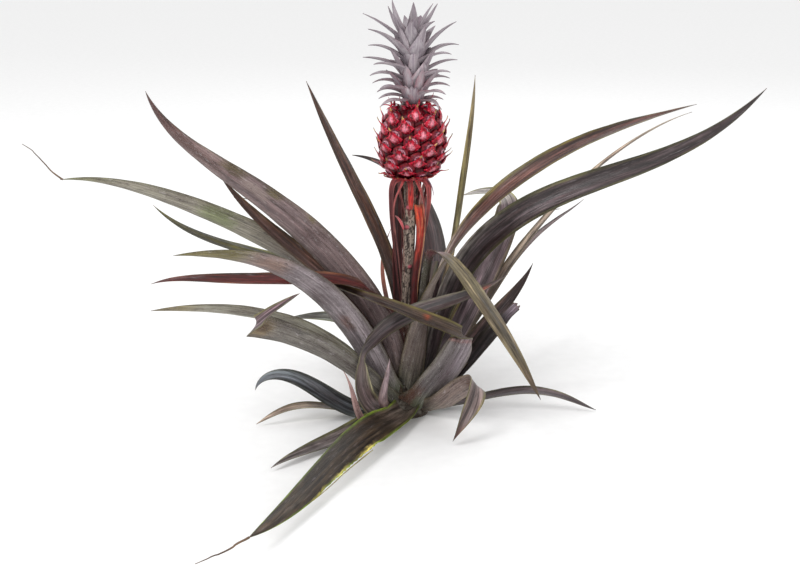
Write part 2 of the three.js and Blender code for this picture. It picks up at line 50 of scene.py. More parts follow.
# ---------------------------------------------------------------------------------------------------------
# The rosette. The same lines as in part.mjs, in millimetres and degrees:
# name, foot, pitch x5, yaw x3, roll x3, length, width, taper, root share, end share, channel angle
LEAVES = [
    ("leaf_01", (-11.1, -10, 24.4), (95, 56.8, 43.3, 36.2, 69.5), (220.8, 212.6, 219), (18, 53.4, 33.2), 458.8, 38.3, 2.97, 0.8, 0.0, 18.0),
    ("leaf_02", (-14.4, -4.1, 23.9), (85.4, 51.4, 31.5, 22, -3.1), (195.5, 195.1, 187.9), (15.8, 62.5, 43.9), 451.3, 30.8, 3.13, 0.8, 0.0, 18.0),
    ("leaf_03", (-11.5, -8, 25.6), (92.2, 57.9, 43.7, 43.9, 57.8), (209.8, 196.8, 193.8), (-29.6, -43.9, -54.9), 314.4, 27.8, 3.11, 0.8, 0.0, 22.0),
    ("leaf_04", (-14.8, 6, 18.7), (86.5, 50.6, 18.5, 13.9, 39), (157.1, 165, 155), (-6.3, -19.6, -28.6), 368, 22.8, 2.8, 0.8, 0.0, 22.0),
    ("leaf_05", (-12, -13.4, 18.4), (58.6, 53.1, 37.7, 20.5, 4.1), (226.9, 229.6, 216.4), (18.1, 38.2, 48.7), 375.2, 35.1, 2.93, 0.8, 0.0, 18.0),
    ("leaf_06", (-9.9, -12.6, 17.5), (100, 60.6, 14.6, 5.6, -20.1), (241, 217.9, 170.7), (-10.1, -25.3, -43.1), 388.8, 26.2, 3.04, 0.8, 0.0, 22.0),
    ("leaf_07", (-17.4, -7.7, 12.6), (55.7, 43, 25.9, 11.3, 0.9), (202.7, 202.5, 200.8), (16.1, 43.9, 56.7), 301.3, 27.5, 3.0, 0.8, 0.0, 20.0),
    ("leaf_08_base", (-15.3, -15.8, 9), (54.5, 42.2, 35, 27.3, 23.1), (225.8, 223.3, 230.4), (20.4, 38.4, 64.9), 230.2, 32.7, 3.05, 0.9, 0.6, 18.0),
    ("leaf_08_tip", None, (37.6, 33.4, 30.8, 32.2, 32.3), (22.6, 15.9, 11.5), (13.9, 2.9, 4.5), 54.1, 18.7, 2.75, 0.9, 0.0, 20.0),
    ("leaf_09", (-16.7, 6.7, 12.5), (100, 70.4, 26.8, -1.8, -11.1), (155, 161.6, 154.9), (-13.6, -31.5, -39.4), 181.2, 21.7, 2.98, 0.8, 0.0, 22.0),
    ("leaf_10", (-23, -12.2, 3), (-5.8, 26.8, 36, 10.2, -77.3), (211.2, 184.1, 180.2), (-26, -49.9, -49), 160.4, 25, 2.8, 0.8, 0.0, 20.0),
    ("leaf_11", (-23.9, -1.7, 3.8), (-5.8, 9.7, 13.7, -9.6, -24), (190, 203.2, 195.3), (10.9, -11.8, -31.5), 146.5, 17.1, 2.86, 0.8, 0.0, 20.0),
    ("leaf_12", (-19.3, -17.4, 4.2), (-2.5, -0.5, 2.4, 2.3, -8.4), (238.7, 235.7, 229.6), (-9, -19.5, -2.1), 196, 26, 2.64, 0.8, 0.0, 20.0),
    ("leaf_13", (3.3, -18.7, 7.5), (4.5, 6.5, -2.4, -1.8, 9.3), (251.5, 248.6, 251.6), (-7, -54.6, -40.4), 389.8, 34.7, 2.93, 0.8, 0.0, 16.0),
    ("leaf_14", (3.6, -13.5, 22), (71.2, 70.6, 42.8, 18.8, 11.2), (-55.4, 4.8, 21.1), (-45.2, 19.5, 3.3), 494.1, 34.3, 2.71, 0.8, 0.0, 18.0),
    ("leaf_15", (13.2, -7, 18.4), (59, 66.4, 28.9, 21.5, 38.9), (-14.3, -8.5, 26.2), (29.5, 61.5, 25), 531.5, 34.3, 2.62, 0.8, 0.0, 18.0),
    ("leaf_16_base", (6.6, 12.4, 21.9), (26.9, 48.2, 61.4, 62.3, 85.6), (33, 32.2, 47.6), (1.5, 22.5, 41.9), 245, 40.9, 3.19, 0.8, 0.6, 20.0),
    ("leaf_16_tip", None, (6.3, 2.6, -5.4, -13.2, -13.6), (115.8, 130.1, 156.7), (-41.5, -24.3, -37.1), 74.4, 18, 2.75, 0.9, 0.0, 20.0),
    ("leaf_17", (-1.3, 11.9, 20.1), (25.9, 45.2, 52.2, 40.4, 10.5), (65.2, 95.8, 183.3), (23.4, 4.2, -15.4), 358, 39.4, 3.45, 0.8, 0.0, 22.0),
    ("leaf_18", (8.7, 9.7, 40.3), (46.8, 63.2, 73, 71.1, 68), (47.3, 57.3, 82), (-19, -25.5, 7), 344.9, 14.9, 2.88, 0.8, 0.0, 25.0),
    ("leaf_19", (11.5, 9.6, 19.2), (23.1, 52.1, 42.8, 28.4, 10), (30.4, 29.5, 28.9), (7.8, 3.7, 12.4), 481.3, 19.3, 2.67, 0.8, 0.0, 22.0),
    ("leaf_20", (9.2, 11.8, 16.8), (16.5, 27.7, 27.5, 15.3, 21.8), (50.4, 57.6, 47.2), (2.2, -6.9, 4.1), 417.4, 17.5, 2.6, 0.8, 0.0, 22.0),
    ("leaf_21", (19.6, 4.2, 11.9), (30.9, 48.8, 49.2, 50.6, 71.8), (11, 14.6, 6.9), (10.5, 32.3, 12.6), 194.8, 29.3, 2.9, 0.8, 0.0, 20.0),
    ("leaf_22", (22, 0, 9.7), (29, 44.4, 53.9, 53.3, 44.2), (0.2, 0.3, 4.6), (11.2, 20, 59.9), 151.2, 30.2, 3.8, 0.8, 0.0, 18.0),
    ("leaf_23", (20.7, 7.5, 3.5), (-7.4, 13, 10.9, -12.1, -19.8), (7.2, -6.6, -1.1), (-0.8, 12.3, 33), 195.7, 20.6, 2.89, 0.8, 0.0, 18.0),
    ("leaf_24", (-7.7, 9.2, 31.7), (100, 76.8, 55.5, 51.2, 49.6), (137.9, 135, 125.9), (18.2, -3.7, -5.6), 364.4, 24.3, 2.7, 0.8, 0.0, 22.0),
    ("leaf_25_base", (13.5, -17.3, 4.6), (59, 49.5, 48.1, 55.5, 57.8), (306.5, 310, 309.5), (-12.5, -31.2, -15), 130.8, 38, 3.02, 1.0, 0.88, 16.0),
    ("leaf_25_tip", None, (24.2, 21.2, 20.4, 18.6, 21.3), (179, 174.9, 173.7), (-21.5, -12.1, 5.5), 180.4, 25.9, 2.47, 0.9, 0.0, 20.0),
    ("leaf_26_base", (-18.4, -18.4, 5.8), (8, 32.5, 58.5, 87.9, 100), (237.9, 232.4, 197.1), (-19.4, -92.6, -41.4), 106.2, 27.2, 2.82, 0.9, 0.45, 20.0),
    ("leaf_26_tip", None, (49.7, 33.6, 17.8, 21.7, 38.4), (3.6, 3.5, 0.6), (35.2, 39.8, 13.3), 175.2, 23.9, 2.53, 0.6, 0.0, 20.0),
    ("leaf_27_base", (11.5, 1.5, 56), (62.5, 67.5, 71.5, 75.5, 78.5), (284.6, 290.6, 296.6), (2, 5, 6), 140.2, 13.2, 2.6, 0.9, 0.8, 25.0),
    ("leaf_27_tip", None, (26.4, -26.9, -37.4, -47.8, -53), (298.2, 309.1, 326.7), (-23.5, 12, 35.2), 216.9, 20, 3.32, 0.6, 0.0, 22.0),
    ("leaf_28_base", (21.6, -14.5, 4.5), (22.2, 33.2, 38.5, 34.3, 28.7), (309.8, 309.2, 313.4), (-30.1, -37.7, -55.4), 99.9, 30.2, 2.62, 1.0, 0.62, 16.0),
    ("leaf_28_tip", None, (-48.6, -50.7, -54.1, -56.2, -54.8), (262, 226.3, 192.9), (-61.1, -43.8, -7.8), 67.3, 28.4, 1.1, 0.9, 0.0, 20.0),
    ("leaf_29", (-11.3, 6.5, 29.4), (100, 79, 50.5, 36.9, 34.6), (153.6, 108.4, 66), (8.2, 10.4, 4.6), 195.7, 7, 2.67, 0.9, 0.0, 22.0),
    ("leaf_30", (10.8, 1.9, 60.1), (74.7, 81.1, 84.8, 85.8, 87.1), (11.6, 24.6, 43), (4.1, 17.3, 29.4), 119, 17.3, 2.9, 0.9, 0.2, 25.0),
    ("leaf_31", (-18.6, -16.7, 10.7), (-28.6, 1.9, 55.1, 73.3, 65.3), (232.6, 236.6, 197), (9.6, 24.5, 17.9), 122.2, 10.9, 2.71, 0.9, 0.0, 25.0),
    ("leaf_32", (-14.8, -18.9, 6.3), (21.8, 54.4, 68.8, 77, 85), (219.7, 294.4, 305.6), (33.9, 16.4, 0.2), 80.5, 13.8, 2.48, 0.9, 0.0, 25.0),
    ("leaf_33", (11.4, 12.6, 19.7), (64.5, 54.1, 35.3, 12.4, -5), (47.7, 42.9, 55.1), (0, 33.2, -37.6), 328.8, 26.2, 2.7, 0.8, 0.0, 20),
    ("leaf_34", (7.8, 15.1, 6.2), (38.5, 26.5, 4.9, -21.5, -41.5), (62.8, 77.7, 42.5), (0, -1.8, -9.4), 359.9, 22, 2.7, 0.8, 0.0, 20),
    ("leaf_35", (3.3, 16.7, 15.5), (36.1, 23.5, 0.9, -26.7, -47.7), (78.7, 86.5, 119.5), (0, 14.5, 22.8), 287.8, 31.1, 2.7, 0.8, 0.0, 20),
    ("leaf_36", (2.7, 16.8, 9.7), (65.5, 50.4, 23.3, -9.8, -35), (81, 78.4, 105), (0, 21.7, 10.5), 341.8, 27.8, 2.7, 0.8, 0.0, 20),
    ("leaf_37", (-4.5, 16.4, 15.5), (41.7, 27.4, 1.5, -30.1, -54), (105.2, 106, 105.2), (0, -2.9, 18.3), 266.3, 28.4, 2.7, 0.8, 0.0, 20),
    ("leaf_38", (-8.6, 14.7, 4.8), (47.7, 36.8, 17.2, -6.8, -25), (120.5, 119.4, 124.8), (0, 20.2, 51.6), 323.5, 22.8, 2.7, 0.8, 0.0, 20),
    ("leaf_39", (-11.4, 12.6, 21.5), (66.6, 55.7, 36.2, 12.3, -5.7), (132.3, 137.2, 134.8), (0, -6.2, 10.3), 346.9, 26.1, 2.7, 0.8, 0.0, 20),
    ("leaf_40", (-16.3, 4.8, 18.8), (68.6, 57.8, 38.4, 14.6, -3.4), (163.6, 155, 153), (0, -9.1, 5.5), 264.8, 30.4, 2.7, 0.8, 0.0, 20),
]
THREADS = {
    "leaf_02": (-376, -92.8, 311.1),
    "leaf_13": (-176.9, -388.7, 3),
}
# Crown leaves: height of the foot over the fruit, heading, pitch at the foot, pitch at the tip, length, width
CROWN = [
    ("L1", 54.9, 205, 54, 90, 54, 13),
    ("L2", 56.4, 150, 46, 75, 48, 9),
    ("L3", 54.8, 192, 46, 25, 60, 11),
    ("L4", 39.8, 212, 54, 15, 60, 13),
    ("L5", 37.2, 178, 50, -5, 46, 10),
    ("L6", 33.4, 195, 26, 5, 48, 10),
    ("L7", 29.8, 222, 30, -5, 48, 10),
    ("L8", 21.2, 200, 34, -20, 40, 10),
    ("L9", 13.4, 176, 38, -30, 34, 9),
    ("L10", 10.6, 228, 26, -10, 42, 9),
    ("L11", 6.7, 196, 38, -30, 30, 9),
    ("L12", 5, 210, 22, -25, 30, 8),
    ("L13", 0.3, 236, 18, -20, 48, 8),
    ("C1", 60.2, 80, 90, 95, 41, 8),
    ("C2", 58.2, 60, 90, 95, 42, 11),
    ("C3", 47.3, 262, 54, 80, 40, 16),
    ("C4", 43.3, 288, 38, 95, 32, 14),
    ("R1", 62, 350, 70, 60, 42, 12),
    ("R1b", 62, 20, 54, 65, 44, 10),
    ("R2", 59.2, 318, 58, 25, 36, 12),
    ("R4", 40.6, 345, 58, 30, 58, 12),
    ("R5", 35, 12, 54, -10, 50, 11),
    ("R6", 36.8, 330, 42, -10, 42, 10),
    ("R8", 26, 355, 42, 0, 42, 10),
    ("R9", 22.7, 318, 30, -5, 44, 10),
    ("R10", 18.2, 20, 30, -20, 32, 9),
    ("R11", 11.8, 345, 34, -20, 30, 9),
    ("R12", 6.5, 310, 26, -15, 40, 9),
    ("R13", 1.1, 0, 26, -25, 22, 8),
    ("R14", -1, 322, 30, -60, 28, 8),
    ("B1", 25.1, 272, 82, 95, 24, 14),
    ("B2", 13.7, 236, 66, 85, 24, 13),
    ("B3", 16.7, 304, 42, 95, 28, 14),
    ("B4", 9.9, 276, 66, 80, 18, 11),
    ("B5", 2.6, 246, 38, 80, 18, 10),
    ("B6", -0.6, 290, 90, 95, 12, 10),
]
AXIS = [(0, 0), (60, 1), (120, 2), (190, 5), (261, 7.5), (300, 9), (340, 9), (440, 6)]
STEM = [(0, 27), (6, 26.5), (12, 24), (22, 19), (36, 15), (56, 11.5), (72, 8)]
STALK = [(60, 7.4), (72, 6.4), (110, 5.7), (160, 6), (215, 6.4), (246, 7.2), (262, 8.5)]
FRUIT_BASE, FRUIT_TOP = 260.0, 339.0
FRUIT_OUTLINE = [(0, 11), (2.5, 19), (6, 25.5), (12, 30), (20, 33), (30, 34.5), (40, 34.8), (50, 33.6), (60, 31), (68, 27.5), (75, 21.5), (78, 15)]
CROWN_CORE = [(0, 14), (8, 16), (25, 12.5), (45, 9), (65, 5.5), (85, 2.6), (92, 0.8)]
GOLDEN = math.radians(137.508)


def read(table, x):
    a = np.array(table, float)
    return np.interp(x, a[:, 0], a[:, 1])


def axis_x(z):
    """Smooth middle line of the stalk: x at height z, in mm."""
    a = np.array(AXIS, float)
    return read(AXIS, z) * 0.5 + 0.25 * (np.interp(np.asarray(z) - 14, a[:, 0], a[:, 1]) + np.interp(np.asarray(z) + 14, a[:, 0], a[:, 1]))


def through(knots, s):
    """The polynomial through evenly spaced knots, at s in 0..1."""
    n = len(knots)
    x = np.linspace(0, 1, n)
    out = np.zeros_like(s)
    for i in range(n):
        term = np.full_like(s, float(knots[i]))
        for j in range(n):
            if j != i:
                term *= (s - x[j]) / (x[i] - x[j])
        out += term
    return out


def share(s, taper, root, end):
    rise = root + (1 - root) * np.sin(np.minimum(s / 0.3, 1) * np.pi / 2)
    return rise * (end + (1 - end) * np.maximum(1 - s**taper, 0) ** 0.9)


def smooth(a, b, x):
    t = np.clip((x - a) / (b - a), 0, 1)
    return t * t * (3 - 2 * t)


def unit(v):
    return v / np.maximum(np.linalg.norm(v, axis=-1, keepdims=True), 1e-12)


# ---------------------------------------------------------------------------------------------------------
# Mesh tools
class Bag:
    """Grids and fans gathered into one mesh, with a colour to each vertex and a UV map in metres."""

    def __init__(self):
        self.v, self.c, self.uv, self.f, self.m, self.n = [], [], [], [], [], 0

    def add(self, verts, colours, uvs, faces, material=0):
        verts = np.asarray(verts, float).reshape(-1, 3)
        k = len(verts)
        self.v.append(verts)
        self.c.append(np.broadcast_to(np.asarray(colours, float).reshape(-1, 3) if np.ndim(colours) > 1 else np.asarray(colours, float), (k, 3)).copy())
        self.uv.append(np.asarray(uvs, float).reshape(-1, 2))
        faces = [tuple(np.asarray(f) + self.n) for f in faces] if isinstance(faces, list) else faces + self.n
        self.f.append(faces)
        self.m.append(np.full(len(faces), material))
        self.n += k

    def grid(self, P, colours, uvs, material=0, close=False, flip=False):
        """P is rows x columns x 3. close joins the last column to the first."""
        r, c = P.shape[:2]
        i = np.arange(r * c).reshape(r, c)
        a, b = i[:-1, :-1], i[:-1, 1:]
        d, e = i[1:, :-1], i[1:, 1:]
        q = np.stack([a, b, e, d], -1).reshape(-1, 4)
        if close:
            q2 = np.stack([i[:-1, -1], i[:-1, 0], i[1:, 0], i[1:, -1]], -1).reshape(-1, 4)
            q = np.vstack([q, q2])
        if flip:
            q = q[:, ::-1]
        self.add(P.reshape(-1, 3), np.asarray(colours).reshape(-1, 3) if np.ndim(colours) > 1 else colours, uvs.reshape(-1, 2), q, material)

    def object(self, name, materials, sharp=50):
        v = np.vstack(self.v)
        me = bpy.data.meshes.new(name)
        quads = [f for f in self.f]
        counts = np.concatenate([np.full(len(f), f.shape[1] if isinstance(f, np.ndarray) else len(f[0])) for f in quads])
        loops = np.concatenate([np.asarray(f).reshape(-1) for f in quads]).astype(np.int32)
        me.vertices.add(len(v))
        me.vertices.foreach_set("co", v.reshape(-1).astype(np.float32))
        me.loops.add(len(loops))
        me.loops.foreach_set("vertex_index", loops)
        me.polygons.add(len(counts))
        start = np.concatenate([[0], np.cumsum(counts)[:-1]]).astype(np.int32)
        me.polygons.foreach_set("loop_start", start)
        me.polygons.foreach_set("material_index", np.concatenate(self.m).astype(np.int32))
        uv = me.uv_layers.new(name="weave")
        uv.uv.foreach_set("vector", np.vstack(self.uv)[loops].reshape(-1).astype(np.float32))
        col = me.color_attributes.new(name="hue", type="FLOAT_COLOR", domain="POINT")
        rgba = np.ones((len(v), 4), np.float32)
        rgba[:, :3] = np.vstack(self.c)
        col.data.foreach_set("color", rgba.reshape(-1))
        for m in materials:
            me.materials.append(m)
        me.update(calc_edges=True)
        me.validate()
        me.shade_smooth()
        if sharp:
            me.set_sharp_from_angle(angle=math.radians(sharp))
        ob = bpy.data.objects.new(name, me)
        bpy.context.scene.collection.objects.link(ob)
        return ob


def close_strip(bag, upper, lower, cu, cl, uvu, uvl, edge_material):
    """Joins the two faces of a strip along both margins and both ends."""
    for side in (0, -1):
        P = np.stack([upper[:, side], lower[:, side]], 1)
        C = np.stack([cu[:, side], cu[:, side]], 1)
        U = np.stack([uvu[:, side], uvl[:, side]], 1)
        bag.grid(P, C, U, edge_material, flip=(side == 0))
    for end in (0, -1):
        P = np.stack([upper[end], lower[end]], 0)
        C = np.stack([cu[end], cu[end]], 0)
        U = np.stack([uvu[end], uvl[end]], 0)
        bag.grid(P, C, U, edge_material, flip=(end == -1))


# ---------------------------------------------------------------------------------------------------------
# Materials. Each reads the vertex colour "hue" and adds its own fibres, scurf, freckles and gloss.
class Nodes:
    def __init__(self, name):
        self.mat = bpy.data.materials.new(name)
        self.mat.use_nodes = True
        self.t = self.mat.node_tree
        self.t.nodes.clear()
        self.out = self.new("ShaderNodeOutputMaterial")
        self.bsdf = self.new("ShaderNodeBsdfPrincipled")
        self.link(self.bsdf.outputs[0], self.out.inputs[0])

    def new(self, kind, **props):
        n = self.t.nodes.new(kind)
        for k, v in props.items():
            setattr(n, k, v)
        return n

    def link(self, a, b):
        self.t.links.new(a, b)

    def hue(self):
        n = self.new("ShaderNodeAttribute", attribute_name="hue")
        return n.outputs["Color"]

    def uv(self, sx, sy, sz=1.0, loc=(0, 0, 0)):
        u = self.new("ShaderNodeUVMap", uv_map="weave")
        m = self.new("ShaderNodeMapping")
        m.inputs["Scale"].default_value = (sx, sy, sz)
        m.inputs["Location"].default_value = loc
        self.link(u.outputs[0], m.inputs["Vector"])
        return m.outputs[0]

    def place(self, scale=1.0):
        u = self.new("ShaderNodeTexCoord")
        m = self.new("ShaderNodeMapping")
        m.inputs["Scale"].default_value = (scale, scale, scale)
        self.link(u.outputs["Object"], m.inputs["Vector"])
        return m.outputs[0]

    def noise(self, vec, scale=1.0, detail=4.0, rough=0.55, distortion=0.0):
        n = self.new("ShaderNodeTexNoise")
        n.inputs["Scale"].default_value = scale
        n.inputs["Detail"].default_value = detail
        n.inputs["Roughness"].default_value = rough
        n.inputs["Distortion"].default_value = distortion
        self.link(vec, n.inputs["Vector"])
        return n.outputs[0]

    def voronoi(self, vec, scale, feature="F1"):
        n = self.new("ShaderNodeTexVoronoi", feature=feature)
        n.inputs["Scale"].default_value = scale
        self.link(vec, n.inputs["Vector"])
        return n.outputs["Distance"]

    def ramp(self, fac, *stops):
        n = self.new("ShaderNodeValToRGB")
        e = n.color_ramp.elements
        e[0].position, e[1].position = stops[0][0], stops[-1][0]
        for x, _ in stops[1:-1]:
            e.new(x)
        for el, (x, c) in zip(sorted(e, key=lambda k: k.position), stops):
            el.position = x
            el.color = (*c, 1) if len(c) == 3 else c
        self.link(fac, n.inputs[0])
        return n.outputs[0]

    def span(self, fac, lo, hi, a, b):
        n = self.new("ShaderNodeMapRange")
        for i, v in zip(("From Min", "From Max", "To Min", "To Max"), (lo, hi, a, b)):
            n.inputs[i].default_value = v
        self.link(fac, n.inputs["Value"])
        return n.outputs[0]

    def mix(self, fac, a, b, kind="MIX"):
        n = self.new("ShaderNodeMix", data_type="RGBA", blend_type=kind)
        for value, socket in ((fac, n.inputs[0]), (a, n.inputs[6]), (b, n.inputs[7])):
            if isinstance(value, (int, float)):
                socket.default_value = value
            elif isinstance(value, (tuple, list, np.ndarray)):
                socket.default_value = (*[float(x) for x in value], 1)
            else:
                self.link(value, socket)
        return n.outputs[2]

    def math(self, op, a, b=None):
        n = self.new("ShaderNodeMath", operation=op)
        for value, socket in ((a, n.inputs[0]), (b, n.inputs[1])):
            if value is None:
                continue
            if isinstance(value, (int, float)):
                socket.default_value = value
            else:
                self.link(value, socket)
        return n.outputs[0]

    def bump(self, height, strength, distance, before=None):
        n = self.new("ShaderNodeBump")
        n.inputs["Strength"].default_value = strength
        n.inputs["Distance"].default_value = distance
        self.link(height, n.inputs["Height"])
        if before is not None:
            self.link(before, n.inputs["Normal"])
        return n.outputs[0]

    def done(self, colour, rough, normal=None, **constants):
        b = self.bsdf.inputs
        if isinstance(rough, (int, float)):
            b["Roughness"].default_value = rough
        else:
            self.link(rough, b["Roughness"])
        self.link(colour, b["Base Color"])
        if normal is not None:
            self.link(normal, b["Normal"])
        for k, v in constants.items():
            b[k.replace("_", " ")].default_value = v
        return self.mat


def leaf_material(name, under):
    m = Nodes(name)
    hue = m.hue()
    # Long fibres: very stretched noise, at three widths.
    wide = m.noise(m.uv(5, 210), 1, 3, 0.5)
    mid = m.noise(m.uv(26, 430, loc=(3, 1, 0)), 1, 4, 0.66)
    fine = m.noise(m.uv(9, 900), 1, 3, 0.6)
    cloud = m.noise(m.uv(16, 45), 1, 4, 0.6, 0.6)
    blotch = m.noise(m.uv(75, 300, loc=(7, 2, 0)), 1, 4, 0.65, 0.4)
    if under:
        colour = m.mix(1.0, hue, m.ramp(wide, (0.28, (0.66, 0.63, 0.64)), (0.5, (1, 1, 1)), (0.7, (1.26, 1.26, 1.28))), "MULTIPLY")
        colour = m.mix(1.0, colour, m.ramp(mid, (0.33, (0.52, 0.48, 0.48)), (0.43, (1, 1, 1)), (0.58, (1.03, 1.03, 1.03)), (0.7, (1.42, 1.42, 1.44))), "MULTIPLY")
        colour = m.mix(0.9, colour, m.ramp(fine, (0.34, (0.56, 0.52, 0.53)), (0.5, (1, 1, 1)), (0.66, (1.34, 1.34, 1.34))), "MULTIPLY")
        colour = m.mix(1.0, colour, m.ramp(cloud, (0.36, (0.66, 0.61, 0.6)), (0.5, (1, 1, 1)), (0.64, (1.28, 1.3, 1.28))), "MULTIPLY")
        # bruised blotches, then scurf: pale grains of wax
        colour = m.mix(m.span(blotch, 0.58, 0.66, 0, 0.5), colour, linear(58, 44, 40))
        patch = m.noise(m.uv(95, 340, loc=(1, 5, 0)), 1, 4, 0.68)
        colour = m.mix(m.span(patch, 0.58, 0.7, 0, 0.38), colour, linear(206, 200, 200))
        grain = m.noise(m.uv(1400, 1400), 1, 2, 0.5)
        colour = m.mix(m.span(grain, 0.54, 0.74, 0, 0.4), colour, linear(214, 206, 208))
        fleck = m.voronoi(m.uv(120, 260), 1)
        colour = m.mix(m.span(fleck, 0.07, 0.16, 0.6, 0), colour, linear(52, 38, 34))
        rough = m.span(fine, 0.3, 0.7, 0.46, 0.7)
    else:
        colour = m.mix(1.0, hue, m.ramp(wide, (0.36, (0.48, 0.44, 0.44)), (0.5, (1, 1, 1)), (0.63, (1.7, 1.67, 1.7))), "MULTIPLY")
        colour = m.mix(1.0, colour, m.ramp(mid, (0.37, (0.38, 0.35, 0.35)), (0.46, (1, 1, 1)), (0.55, (1.06, 1.06, 1.06)), (0.65, (2.1, 2.04, 2.08))), "MULTIPLY")
        colour = m.mix(0.8, colour, m.ramp(fine, (0.34, (0.66, 0.64, 0.64)), (0.5, (1, 1, 1)), (0.66, (1.36, 1.36, 1.36))), "MULTIPLY")
        colour = m.mix(1.0, colour, m.ramp(cloud, (0.37, (0.66, 0.6, 0.6)), (0.5, (1, 1, 1)), (0.63, (1.38, 1.38, 1.36))), "MULTIPLY")
        colour = m.mix(m.span(blotch, 0.6, 0.68, 0, 0.45), colour, linear(30, 22, 20))
        # painted sheen: pale lilac-grey streaks along the upper face
        upper_sheen_streaks = m.noise(m.uv(40, 380), 1, 4, 0.6)
        colour = m.mix(m.span(upper_sheen_streaks, 0.58, 0.74, 0, 0.34), colour, linear(150, 140, 144))
        rough = m.span(fine, 0.3, 0.7, 0.27, 0.44)
    lines = m.bump(fine, 0.36, 0.0007)
    lines = m.bump(mid, 0.45, 0.0013, lines)
    return m.done(colour, rough, lines, Specular_IOR_Level=0.45 if not under else 0.34)


def simple_material(name, rough, grain=900, strength=0.3, spec=0.4, mottle=0.25, **extra):
    m = Nodes(name)
    hue = m.hue()
    n = m.noise(m.place(grain), 1, 5, 0.6)
    cloud = m.noise(m.place(grain * 0.12), 1, 4, 0.6)
    lo, hi = 1 - mottle, 1 + mottle
    colour = m.mix(1.0, hue, m.ramp(n, (0.3, (lo, lo, lo)), (0.7, (hi, hi, hi))), "MULTIPLY")
    colour = m.mix(1.0, colour, m.ramp(cloud, (0.3, (0.82, 0.8, 0.8)), (0.7, (1.18, 1.18, 1.18))), "MULTIPLY")
    return m.done(colour, m.span(n, 0.3, 0.7, max(rough - 0.08, 0.05), rough + 0.1), m.bump(n, strength, 0.0006), Specular_IOR_Level=spec, **extra)


leaf_upper = leaf_material("leaf_upper", False)
leaf_under = leaf_material("leaf_under", True)

# ---------------------------------------------------------------------------------------------------------
# Noise in numpy, the same on every run
def lattice(ix, iy, seed):
    h = (ix.astype(np.int64) * 374761393 + iy.astype(np.int64) * 668265263 + seed * 1442695041) & 0xFFFFFFFF
    h = ((h ^ (h >> 13)) * 1274126177) & 0xFFFFFFFF
    return ((h ^ (h >> 16)) & 0xFFFF) / 65535.0


def noise2(x, y, seed=0):
    x, y = np.broadcast_arrays(np.asarray(x, float), np.asarray(y, float))
    ix, iy = np.floor(x), np.floor(y)
    fx, fy = x - ix, y - iy
    fx, fy = fx * fx * (3 - 2 * fx), fy * fy * (3 - 2 * fy)
    a, b = lattice(ix, iy, seed), lattice(ix + 1, iy, seed)
    c, d = lattice(ix, iy + 1, seed), lattice(ix + 1, iy + 1, seed)
    return (a * (1 - fx) + b * fx) * (1 - fy) + (c * (1 - fx) + d * fx) * fy


def fractal(x, y, seed=0, octaves=3):
    total, gain = 0.0, 0.0
    for k in range(octaves):
        total = total + noise2(np.asarray(x) * 2**k, np.asarray(y) * 2**k, seed + 17 * k) * 0.5**k
        gain += 0.5**k
    return total / gain


# ---------------------------------------------------------------------------------------------------------
# Leaves
FINE = 1500


def spine(row):
    """The middle line of a blade with its frames, on a fine even grid."""
    name, foot, pitch, yaw, roll, length, width, taper, root, end, fold = row
    s = np.linspace(0, 1, FINE)
    p, y, r = (np.radians(through(k, s)) for k in (pitch, yaw, roll))
    d = np.stack([np.cos(p) * np.cos(y), np.cos(p) * np.sin(y), np.sin(p)], -1)
    side0 = np.stack([-np.sin(y), np.cos(y), np.zeros_like(y)], -1)
    normal0 = np.cross(d, side0)
    c, q = np.cos(r)[:, None], np.sin(r)[:, None]
    return dict(
        ell=s * length, d=d, b=side0 * c + normal0 * q, n=normal0 * c - side0 * q,
        half=width / 2 * share(s, taper, root, end), fold=np.full(FINE, np.radians(fold)), foot=foot,
    )


def joined(first, second, bend, flip, waist=0.0, widen=0.0):
    """Two blades as one, turning over a bend of that length between them. waist pinches it there, widen broadens the end of the first."""
    la, lb = first["ell"][-1], second["ell"][-1]
    ell = np.linspace(0, la + lb, 2 * FINE)
    out = {"ell": ell, "foot": first["foot"]}
    if flip:
        second = dict(second, b=-second["b"], n=-second["n"])
    pick = lambda part, x, key: np.stack([np.interp(x, part["ell"], part[key][:, i]) for i in range(3)], -1)
    frames = {}
    for key in ("d", "b", "n"):
        frames[key] = (pick(first, np.minimum(ell, la), key), pick(second, np.maximum(ell - la, 0), key))
        out[key] = np.where((ell < la)[:, None], frames[key][0], frames[key][1])
    inside = np.where(np.abs(ell - la) < bend / 2)[0]
    for i in inside:
        qa, qb = (Matrix([list(unit(frames[k][j][i])) for k in ("d", "b", "n")]).transposed().to_quaternion() for j in (0, 1))
        w = float(smooth(la - bend / 2, la + bend / 2, ell[i]))
        m = qa.slerp(qb, w).to_matrix()
        for c, k in enumerate(("d", "b", "n")):
            out[k][i] = m.col[c]
    w = smooth(la - 9, la + 9, ell)
    half = lambda part, x, key: np.interp(x, part["ell"], part[key])
    out["half"] = half(first, np.minimum(ell, la), "half") * (1 - w) + half(second, np.maximum(ell - la, 0), "half") * w
    out["half"] = out["half"] * (1 - waist * np.exp(-(((ell - la) / 11.0) ** 2)))
    out["half"] = out["half"] + widen * smooth(la - 60, la - 12, ell) * (1 - smooth(la + 2, la + 16, ell))
    flat = 1 - 0.6 * np.exp(-(((ell - la) / (bend * 0.8)) ** 2))
    out["fold"] = (half(first, np.minimum(ell, la), "fold") * (1 - w) + half(second, np.maximum(ell - la, 0), "fold") * w) * flat
    # The turn cuts the corner, so the far part is moved back to where the CAD has it.
    straight = np.cumsum(np.where((ell < la)[:, None], frames["d"][0], frames["d"][1]), 0)
    turned = np.cumsum(out["d"], 0)
    out["shift"] = (straight[-1] - turned[-1]) * (ell[1] - ell[0]) * smooth(la * 0.45, la + bend / 2, ell)[:, None]
    out["bend"] = (la, bend)
    return out


